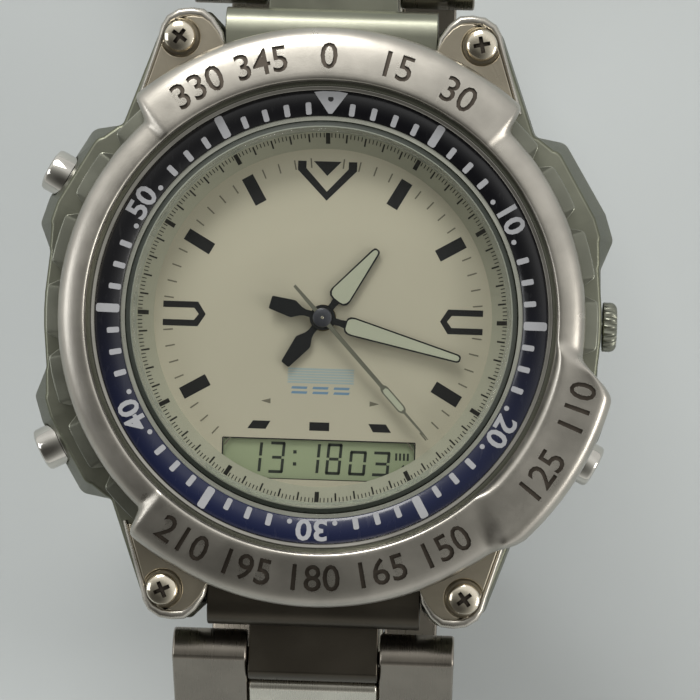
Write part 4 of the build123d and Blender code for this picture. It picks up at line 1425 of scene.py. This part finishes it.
@dataclass
class Face(SubAssembly):
    """The crystal, the chapter ring, the printed dial and the display."""

    plate_top: float = 43.068
    dial_top: float = 43.468
    foot: float = 14.0
    radius: float = 16.0
    crystal_floor: float = 46.168
    crystal_top: float = 48.268
    steps: int = 300
    window: tuple[float, float, float] = (15.92, 3.28, -11.76)
    window_corner: float = 0.35
    hole: float = 1.1
    hour_bar: Bar = (10.8, 13.24, 1.02)
    dash: Bar = (12.45, 13.25, 0.12)
    minute_tick: Bar = (14.52, 15.15, 0.14)
    fifth_tick: Bar = (14.86, 15.2, 0.08)
    hour_tick: Bar = (14.38, 15.2, 0.36)
    black_rise: float = 0.012
    grey_rise: float = 0.01
    blue_rise: float = 0.009
    digit_stroke: float = 0.24
    digit_gap: float = 0.1
    digit_lean: float = 0.07

    def sheet(self, x: float, y: float) -> float:
        """The height of the dial, which is flat."""
        return self.dial_top

    def cone(self, x: float, y: float) -> float:
        """The height of the chapter ring's cone at a point."""
        share = (hypot(x, y) - self.foot) / (self.radius - 0.1 - self.foot)
        return self.dial_top + share * (self.crystal_floor - self.dial_top) + 0.004

    def chapter(self) -> Mesh:
        """The ring between dial and crystal, with a rounded foot.

        Returns:
            Its mesh, in metres.
        """
        foot, low, high = self.foot, self.dial_top, self.crystal_floor - 0.01
        outer = self.radius - 0.01
        profile = [
            (foot, low), (foot + 0.03, low + 0.05), (foot + 0.95, (low + self.crystal_floor) / 2.0),
            (self.radius - 0.12, high), (outer, high), (outer, low),
        ]
        return turned("chapter", profile, self.steps)

    def track(self) -> Mesh:
        """The comb of fine marks on the chapter ring.

        Returns:
            Its mesh, in metres.
        """
        blank = Blank()
        for fifth in range(300):
            bar, rise = self.fifth_tick, 0.015
            if fifth % 25 == 0:
                bar, rise = self.hour_tick, 0.02
            elif fifth % 5 == 0:
                bar = self.minute_tick
            blank.mark(spoke(fifth * 1.2, *bar), self.cone, rise)
        return blank.mesh("track")

    def dial(self) -> Mesh:
        """The dial plate with its window and the hole for the hands; their cut walls take the black
        ink as painted shade.

        Returns:
            Its mesh, in metres.
        """
        blank, hole = Blank(), Blank()
        rim = [polar(self.radius - 0.02, 3.0 * step) for step in range(120)]
        blank.prism(rim, self.plate_top, self.dial_top)
        width, height, centre = self.window
        x, y, large = width / 2.0, height / 2.0, self.window_corner
        small = large / 2.0
        right = [(x - large, -y), (x, large - y), (x, y - small), (x - small, y)]
        outline = shifted([*right, *mirrored(right, -1)[::-1]], 0.0, centre)
        hole.prism(outline, self.plate_top - 1.0, self.dial_top + 1.0)
        profile = [(0.0, -1.0), (self.hole, -1.0), (self.hole, 1.0), (0.0, 1.0)]
        hole.spin(profile, 32, lifted(self.dial_top))
        plate, opening = blank.mesh("dial"), hole.mesh("opening")
        plate.materials.append(DIAL_CREAM.material())
        # painted shade: the cut walls of the window and the hole take the black ink
        opening.materials.append(BLACK_INK.material())
        return carve(plate, opening)

    def print_marks(self) -> Mesh:
        """The black printing: hour bars, open arrows, a chevron and marks over the display.

        Returns:
            Its mesh, in metres.
        """
        arm = [(10.66, 0.5), (13.24, 0.5), (13.24, 1.02), (10.35, 1.02), (9.7, 0.0), (10.28, 0.0)]
        slope = [(0.0, 9.7), (0.0, 10.45), (1.75, 12.35), (1.75, 12.95)]
        slope += [(2.45, 12.95), (2.45, 12.2)]
        slant = [(4.05, -8.65), (5.5, -8.65), (5.95, -9.32), (4.45, -9.32)]
        outlines = [spoke(clock, *self.hour_bar) for clock in (30, 60, 120, 240, 300, 330)]
        outlines += [mirrored(arm, *ways) for ways in QUARTERS]
        outlines += [mirrored(half, way) for half in (slope, slant) for way in (1, -1)]
        outlines += [[(-1.15, 12.95), (0.0, 11.75), (1.15, 12.95)]]
        outlines += [rectangle(-0.82, -9.35, 0.82, -8.65)]
        return marks(outlines, self.sheet, self.black_rise)

    def print_fine(self) -> Mesh:
        """The fine grey minute dashes and two small arrowheads.

        Returns:
            Their mesh, in metres.
        """
        minutes = [minute for minute in range(60) if minute % 5 and not 24 < minute < 36]
        outlines = [spoke(minute * 6.0, *self.dash) for minute in minutes]
        head = [(4.9, -7.0), (4.1, -6.78), (4.1, -7.22)]
        return marks([*outlines, mirrored(head, -1), head], self.sheet, self.grey_rise)

    def print_blue(self) -> Mesh:
        """A plain block of fine pale blue stripes.

        Returns:
            Its mesh, in metres.
        """
        stripe = [(-2.75, -0.15), (2.75, -0.15), (2.72, 0.0), (-2.72, 0.0)]
        rows = [shifted(stripe, 0.0, -4.2 - row * 0.22) for row in range(6)]
        return marks(rows, self.sheet, self.blue_rise)

    def print_deep_blue(self) -> Mesh:
        """Six short blue bars in two rows under the stripes.

        Returns:
            Their mesh, in metres.
        """
        bar = [(-0.68, -0.2), (0.6, -0.2), (0.68, 0.0), (-0.6, 0.0)]
        bars = [shifted(bar, x, y) for x in (-1.75, 0.0, 1.75) for y in (-5.72, -6.12)]
        return marks(bars, self.sheet, self.blue_rise)

    def frame_line(self) -> Mesh:
        """A painted shadow: the thin dark line round the display's window, thinner along its foot.

        Returns:
            Its mesh, in metres.
        """
        blank = Blank()
        width, height, centre = self.window
        for x, y, wide, tall in (
            (0.0, height / 2.0, width, 0.1), (0.0, -height / 2.0, width, 0.06),
            (-width / 2.0, 0.0, 0.1, height), (width / 2.0, 0.0, 0.1, height),
        ):
            strip = rectangle(-wide / 2.0, -tall / 2.0, wide / 2.0, tall / 2.0)
            blank.mark(shifted(strip, x, centre + y), self.sheet, 0.008, 0.2)
        return blank.mesh("frame_line")

    def segments(self, lit: str, wide: float, tall: float) -> Iterable[list[Flat]]:
        """The outlines of one digit's segments, round its own middle.

        Args:
            lit: the letters of the segments that show.
            wide: the digit's width.
            tall: the digit's height.

        Returns:
            An outline for each segment.
        """
        w, h, t, gap = wide / 2.0, tall / 2.0, self.digit_stroke, self.digit_gap
        end = w - gap / 2.0
        strokes = {
            "a": (-end, h - t, end, h), "g": (t - w, -t / 2.0, w - t, t / 2.0),
            "d": (-end, -h, end, t - h), "f": (-w, gap, t - w, h - gap),
            "b": (w - t, gap, w, h - gap), "e": (-w, gap - h, t - w, -gap),
            "c": (w - t, gap - h, w, -gap),
        }
        return (rectangle(*strokes[letter], self.digit_lean) for letter in lit)

    def digits(self) -> Mesh:
        """Plain seven-segment digits on the display, with a colon, small bars and a bell.

        Returns:
            Their mesh, in metres.
        """
        one, three, eight, nought = "bc", "abcdg", "abcdefg", "abcdef"
        foot = self.window[2] - 1.2
        outlines = []
        for lit, centre, wide, tall in (
            (one, -5.3, 1.2, 2.6), (three, -3.45, 1.25, 2.6), (one, -0.5, 1.2, 2.6),
            (eight, 1.28, 1.25, 2.6), (nought, 3.25, 1.4, 2.05), (three, 5.2, 1.4, 2.05),
        ):
            shapes = self.segments(lit, wide, tall)
            outlines += [shifted(shape, centre, foot + tall / 2.0) for shape in shapes]
        small = [rectangle(-2.1, y - 0.14, -1.82, y + 0.14) for y in (-0.5, 0.5)]
        small += [rectangle(x, 0.05, x + 0.17, 0.65) for x in (6.35, 6.67, 6.99, 7.31)]
        small.append(
            [(6.75, -0.95), (7.35, -0.95), (7.22, -0.75), (7.18, -0.42), (7.05, -0.28),
             (6.92, -0.42), (6.88, -0.75)]
        )
        outlines += [shifted(shape, 0.0, foot + 1.3) for shape in small]
        blank = Blank()
        for outline in outlines:
            blank.prism(outline, self.plate_top - 0.005, self.plate_top + 0.015)
        return blank.mesh("digits")

    def crystal(self) -> Mesh:
        """The flat glass with its bevelled rim.

        Returns:
            Its mesh, in metres.
        """
        top, low, r = self.crystal_top, self.crystal_floor, self.radius
        profile = [
            (0.0, top), (r - 0.85, top), (r - 0.7, top - 0.04), (r - 0.06, top - 0.55),
            (r, top - 0.65), (r, low), (0.0, low),
        ]
        return turned("crystal", profile, self.steps)

    def rim(self) -> Mesh:
        """A pale, hazy ring seen through the bevel: a painted reflection of the bevel's whitish
        glare.

        Returns:
            Its mesh, in metres.
        """
        top, low, r = self.crystal_top, self.crystal_floor, self.radius
        profile = [
            (r - 0.8, low + 0.03), (r - 0.36, low + 0.03), (r - 0.36, top - 0.72),
            (r - 0.46, top - 0.66), (r - 0.62, low + 0.6),
        ]
        return turned("rim", profile, self.steps)

    def gasket(self) -> Mesh:
        """The dark seal round the glass.

        Returns:
            Its mesh, in metres.
        """
        top, low, inner, outer = self.crystal_top, self.crystal_floor + 0.02, 0.35, 0.02
        profile = [(inner, low), (outer, low), (outer, top - 0.85), (inner, top - 0.75)]
        return turned("gasket", [(self.radius - inset, z) for inset, z in profile], self.steps)

    def build(self) -> None:
        """Make the face from the display up to the glass."""
        self.piece("dial_plate", self.dial(), DIAL_CREAM, "dial_cream", ["dial"])
        ring = self.chapter()
        self.piece("chapter_cone", ring, CHAPTER_CREAM, "chapter_cream", ["chapter_ring"], 50.0)
        for name, mesh, finish, slot in (
            ("chapter_track", self.track(), BLACK_INK, "chapter_cream"),
            ("dial_marks", self.print_marks(), BLACK_INK, "dial_cream"),
            ("dial_dashes", self.print_fine(), GREY_INK, "dial_cream"),
            ("dial_stripes", self.print_blue(), PALE_BLUE_INK, "dial_cream"),
            ("dial_bars", self.print_deep_blue(), BLUE_INK, "dial_cream"),
            # the window's painted shadow line
            ("window_shadow_line", self.frame_line(), BLACK_INK, "dial_cream"),
            ("display_digits", self.digits(), SEGMENT, "display"),
        ):
            self.piece(name, mesh, finish, slot)
        self.piece("crystal_disc", self.crystal(), CRYSTAL, "crystal_glass", ["crystal"], 25.0)
        # the bevel's painted reflection
        self.piece("bevel_glare_ring", self.rim(), BEVEL_GLARE, "crystal_glass", (), 60.0)
        self.piece("crystal_gasket", self.gasket(), GASKET, "movement_plastic", (), 60.0)


@dataclass
class Hand(SubAssembly):
    """One luminous hand with a blunt tail."""

    name: str = "hour"
    clock: float = 37.3
    level: float = 43.818
    length: float = 7.25
    tail: float = 4.95
    shoulder: float = 0.96
    tip: float = 0.36
    start: float = 1.75
    barb: float = 0.72
    tail_end: float = 0.4
    thick: float = 0.2
    hub: float = 1.05
    margin: float = 0.13

    def plan(self, blank: Blank, outline: Sequence[Flat], low: float, high: float) -> None:
        """Add a plate from a half outline on the right of the hand's line.

        Args:
            blank: what it is added to.
            outline: the half outline, for a hand that points to 12 o'clock.
            low: the plate's lower height.
            high: the plate's upper height.
        """
        turn = Matrix.Rotation(radians(-self.clock), 2)
        full = [*outline, *mirrored(outline, -1)[::-1]]
        blank.prism([tuple(turn @ Vector(point)) for point in full], low, high)

    def blade(self, inset: float) -> list[Flat]:
        """Draw the right half of the blade's outline.

        Args:
            inset: how far inside the blade's edge it lies.

        Returns:
            Its points, from the centre to the tip.
        """
        wide, tip, start, end = self.shoulder - inset, self.tip - inset, self.start, self.length
        return [
            (0.3, start + inset), (wide * 0.72, start + 0.08 + inset),
            (wide * 0.93, start + 0.3 + inset), (wide, start + 0.62 + inset),
            (tip, end - 0.3 - inset * 0.5), (tip * 0.8, end - 0.1 - inset),
            (tip * 0.4, end - inset),
        ]

    def build(self) -> None:
        """Make the black hand and its luminous fill."""
        dark, glow = Blank(), Blank()
        low, high, hub, thick = self.level, self.level + self.thick, self.hub, self.thick
        neck = [(0.3, 0.0), (0.27, self.start - 0.4), (0.36, self.start + 0.25)]
        tail = [
            (self.tail_end - 0.08, -self.tail), (self.tail_end, -self.tail + 0.08),
            (self.barb, -2.75), (self.barb, -2.5), (0.36, -1.85), (0.27, -1.5), (0.3, 0.0),
        ]
        for part, outline in enumerate((self.blade(0.0), neck, tail)):
            self.plan(dark, outline, low, high - 0.001 * part)
        ring = [(0.5, 0.0), (hub, 0.0), (hub, thick - 0.05), (hub - 0.05, thick), (0.5, thick)]
        dark.spin(ring, 48, lifted(low))
        self.plan(glow, self.blade(self.margin), high - 0.03, high + 0.015)
        blade, node = dark.mesh("blade"), f"{self.name}_hand"
        self.piece(f"{self.name}_blade", blade, HAND_BLACK, "hand_black", [node], 30.0)
        self.piece(f"{self.name}_lume", glow.mesh("lume"), LUME, "hand_black", (), 30.0)


@dataclass
class SecondHand(Hand):
    """The slim second hand with its luminous box and round cap."""

    body: str = "second_hand"
    name: str = "second"
    clock: float = 137.3
    level: float = 44.818
    length: float = 13.3
    tail: float = 3.5
    arbor: float = 0.22
    cap: float = 0.8

    def build(self) -> None:
        """Make the needle, the box, the cap and the arbor."""
        needle, glow = Blank(), Blank()
        low, high, here = self.level, self.level + self.thick, lifted(self.level)
        line = [(0.12, -self.tail), (0.19, 0.0), (0.16, 7.5), (0.1, 10.1), (0.09, 12.2)]
        self.plan(needle, [*line, (0.03, self.length)], low, high)
        box = [(0.14, 7.45), (0.3, 7.7), (0.34, 7.95), (0.34, 9.95), (0.26, 10.2), (0.12, 10.35)]
        self.plan(needle, box, low, high + 0.01)
        self.plan(glow, [(0.14, 7.8), (0.23, 8.0), (0.23, 9.9), (0.14, 10.1)], high, high + 0.03)
        rod = [(0.0, -3.5), (self.arbor, -3.5), (self.arbor, 0.1), (0.0, 0.1)]
        needle.spin(rod, 16, here)
        top, wide = self.thick + 0.12, self.cap
        dome = [
            (0.0, top), (0.3, top - 0.005), (0.62, top - 0.03), (wide - 0.04, top - 0.09),
            (wide, top - 0.18), (wide, 0.0), (0.0, 0.0),
        ]
        high, deep = top + 0.02, top - 0.05
        end = [(0.0, high), (0.1, high), (0.13, top), (0.13, deep), (0.0, deep)]
        mesh = needle.mesh("needle")
        self.piece("second_needle", mesh, HAND_GREY, "hand_grey", ["second_hand"], 30.0)
        self.piece("second_lume", glow.mesh("lume"), LUME, "hand_grey")
        self.piece("second_cap", turned("cap", dome, 48, here), HAND_CAP, "hand_grey", (), 30.0)
        self.piece("second_arbor_end", turned("dot", end, 20, here), BRIGHT, "hand_grey", (), 30.0)


@dataclass
class Gears(SubAssembly):
    """The motion work under the dial."""

    def build(self) -> None:
        """Finish the gears and the lever, which keep their own shapes."""
        for node in ("cannon_pinion", "minute_wheel", "hour_wheel"):
            self.finish_node(node, BRASS)
        self.finish_node("setting_lever", SPRING)


@dataclass
class Crown(SubAssembly):
    """The fluted crown on its stem."""

    body: str = "crown"
    level: float = STEM
    start: float = 23.16
    length: float = 1.2
    radius: float = 2.05
    flutes: int = 20
    flute_steps: int = 8
    flute_depth: float = 0.2
    stem_radius: float = 0.6
    stem_end: float = 9.4

    def build(self) -> None:
        """Make the crown with rounded flutes, a domed end and its stem."""
        length = self.length
        profile = [
            (0.97, 0.02), (1.0, 0.1), (1.0, length * 0.55), (0.97, length - 0.3),
            (0.91, length - 0.14), (0.82, length - 0.03),
        ]
        rows = []
        steps = self.flutes * self.flute_steps
        for angle in (2.0 * pi * step / steps for step in range(steps)):
            wave = 0.5 + 0.5 * cos(angle * self.flutes)
            row = [(0.72 * self.radius, 0.0)]
            for share, reach in profile:
                whole = 1.0 if 0.1 < reach < length - 0.1 else 0.25
                cut = self.flute_depth * (1.0 - wave**0.7) * whole
                row.append((self.radius * share - cut, reach))
            row += [(1.55, length - 0.01), (1.45, length - 0.09), (0.02, length)]
            rows.append([(r * cos(angle), r * sin(angle), z) for r, z in row])
        blank = Blank()
        turn = outward(90.0, self.start, self.level)
        blank.weave(rows, turn, ringed=False)
        end, r = self.stem_end - self.start, self.stem_radius
        stem = [(0.0, end), (r - 0.1, end), (r, end + 0.1), (r, 0.0), (1.2, 0.0), (1.59, 0.002)]
        blank.spin(stem, 32, turn)
        self.piece("crown_grip", blank.mesh("crown"), GRIP, "satin_steel", ["crown"], 40.0)


@dataclass
class Pusher(SubAssembly):
    """One push button, a round cap with a collar."""

    label: str = "10"
    clock: float = 297.0
    level: float = STEM
    end: float = 26.0
    length: float = 3.6
    radius: float = 1.8

    def build(self) -> None:
        """Make the cap."""
        self.body = node = f"pusher_{self.label}"
        r, reach = self.radius, self.length
        profile = [
            (0.0, 0.0), (r - 0.15, 0.0), (r, 0.12), (r, 1.5), (r - 0.06, 1.56), (r - 0.06, 1.7),
            (r, 1.76), (r, reach - 0.32), (r - 0.1, reach - 0.12), (r - 0.34, reach),
            (r - 0.5, reach - 0.02), (r - 0.62, reach - 0.08), (0.0, reach - 0.04),
        ]
        cap = turned("cap", profile, 72, outward(self.clock, self.end - reach, self.level))
        self.piece(f"pusher_cap_{self.label}", cap, POLISHED, "satin_steel", [node], 30.0)


@dataclass
class Bracelet(SubAssembly):
    """The rows of the link bracelet on both sides."""

    rows: int = 5
    centre_half: float = 5.42
    softened: float = 0.22

    def build(self) -> None:
        """Round and brush every row; the centre links are painted brighter than the outer ones:
        painted light on the centres, painted shade on the sides.
        """
        for label in (f"{side}_{row}" for side in (12, 6) for row in range(1, self.rows + 1)):
            self.body = f"row_{label}"
            name = f"row_{label}_link"
            piece = self.soften(
                f"link_{label}", name, self.softened, SHADED_LINK_SIDE, "satin_steel", 35.0
            )
            # painted light: the centre links take the bright steel
            piece.data.materials.append(LIT_LINK_CENTRE.material())
            for face in piece.data.polygons:
                if abs(face.center.x) < self.centre_half * MM:
                    face.material_index = 1
        self.finish_node("clasp_bar_6", SPRING)


@dataclass
class Clasp(SubAssembly):
    """The folding clasp."""

    softened: float = 0.14

    def build(self) -> None:
        """Round the clasp's edges and finish its pins."""
        for node, body, finish, slot in (
            ("clasp_cover", "clasp_cover", BRUSHED, "satin_steel"),
            ("clasp_outer_blade", "outer_blade", POLISHED, "polished_steel"),
            ("clasp_inner_blade", "inner_blade", POLISHED, "polished_steel"),
        ):
            self.body = body
            self.soften(node, f"{node}_plate", self.softened, finish, slot, 35.0)
        for node in ("cover_hinge_pin", "fold_pin", "clasp_bar_12"):
            self.finish_node(node, SPRING)


@dataclass(frozen=True)
class Lamp:
    """A square lamp that shines at the watch; its place and its side are in metres."""

    name: str
    place: tuple[float, float, float]
    size: float
    watts: float
    tint: Colour

    def hang(self) -> None:
        """Hang the lamp."""
        data = bpy.data.lights.new(self.name, "AREA")
        data.size = self.size
        data.energy = self.watts
        data.color = self.tint
        item = placed(self.name, data)
        item.location = self.place
        aim = Vector((0.0, 0.0, 0.04)) - Vector(self.place)
        item.rotation_euler = aim.to_track_quat("-Z", "Y").to_euler()


@dataclass
class Studio:
    """The pale floor, the soft lamps, the sky and the camera over the dial."""

    eye: tuple[float, float, float] = (9.385, -4.725, 346.668)
    aim: tuple[float, float, float] = (0.0078, 0.0230, 0.0321)
    lens: float = 188.58
    sensor: float = 36.0
    backdrop: Colour = (0.56, 0.585, 0.58)
    lamps: tuple[Lamp, ...] = (
        Lamp("window_lamp", (-0.25, 0.95, 0.8), 0.5, 9.0, (1.0, 0.985, 0.96)),
        Lamp("left_lamp", (-0.85, 0.05, 0.7), 0.4, 1.6, (0.97, 0.98, 1.0)),
        Lamp("right_lamp", (0.8, -0.2, 0.6), 0.4, 2.6, (1.0, 0.97, 0.93)),
    )

    def camera(self) -> None:
        """Put the camera where the photograph was taken from."""
        data = bpy.data.cameras.new("camera")
        data.lens = self.lens
        data.sensor_width = self.sensor
        data.clip_start, data.clip_end = 0.01, 20.0
        item = placed("camera", data)
        item.location = Vector(self.eye) * MM
        item.rotation_euler = self.aim
        bpy.context.scene.camera = item

    def sky(self) -> None:
        """A plain sky: dim overhead, bright beyond 12 o'clock, and pale behind the watch."""
        world = bpy.data.worlds.new("sky")
        world.use_nodes = True
        board = Board(world.node_tree)
        way = board.node("ShaderNodeTexCoord", output="Generated")
        east, north, up = (board.axis(way, name) for name in "XYZ")
        stops = [
            (0.0, (0.80, 0.80, 0.79)), (0.3, (0.97, 0.97, 0.96)), (0.5, (0.84, 0.84, 0.82)),
            (0.62, (0.52, 0.52, 0.50)), (0.75, (0.27, 0.27, 0.255)), (0.88, (0.09, 0.088, 0.082)),
        ]
        slope = up * 0.75 - north * 0.4 - east * 0.3
        grey = board.node("ShaderNodeValToRGB", {"stops": stops}, {0: slope})
        lit = board.node("ShaderNodeBackground", inputs={0: grey, 1: 0.92 + north * 0.1})
        plain = board.node("ShaderNodeBackground", inputs={0: (*self.backdrop, 1.0), 1: 1.0})
        seen = board.node("ShaderNodeLightPath", output="Is Camera Ray")
        both = board.node("ShaderNodeMixShader", inputs={0: seen, 1: lit, 2: plain})
        board.output(both, "ShaderNodeOutputWorld")
        bpy.context.scene.world = world

    def floor(self) -> None:
        """A wide pale floor with a gentle rise at its far edges."""
        profile = [(0.0, -0.02), (900.0, -0.02), (1100.0, 4.0), (1300.0, 16.0), (1500.0, 40.0)]
        mesh = turned("floor", profile, 96)
        mesh.materials.append(FLOOR.material())
        item = placed("floor", mesh)
        mesh.shade_smooth()

    def build(self) -> None:
        """Set the whole studio."""
        self.camera()
        self.sky()
        self.floor()
        for lamp in self.lamps:
            lamp.hang()
        bpy.context.scene.view_settings.view_transform = "Standard"


def main() -> None:
    """Build the watch from the case outwards, then the studio."""
    logging.basicConfig(level=logging.INFO, format="%(name)s: %(message)s")
    minute = Hand(
        body="minute_hand", name="minute", clock=105.1, level=44.318, length=11.9, tail=4.48,
        shoulder=0.78, start=1.95, tail_end=0.55,
    )
    pushers = (Pusher(), Pusher(label="8", clock=243.0), Pusher(label="4", clock=117.0, end=25.8))
    hands = (Hand(body="hour_hand"), minute, SecondHand())
    head = (Case(), GuardCover(), Bezel(), Face(), *hands, Gears(), Crown(), *pushers)
    for assembly in (*head, Bracelet(), Clasp()):
        assembly.build()
        LOG.info("%s done", type(assembly).__name__)
    Studio().build()


if __name__ == "__main__":
    main()
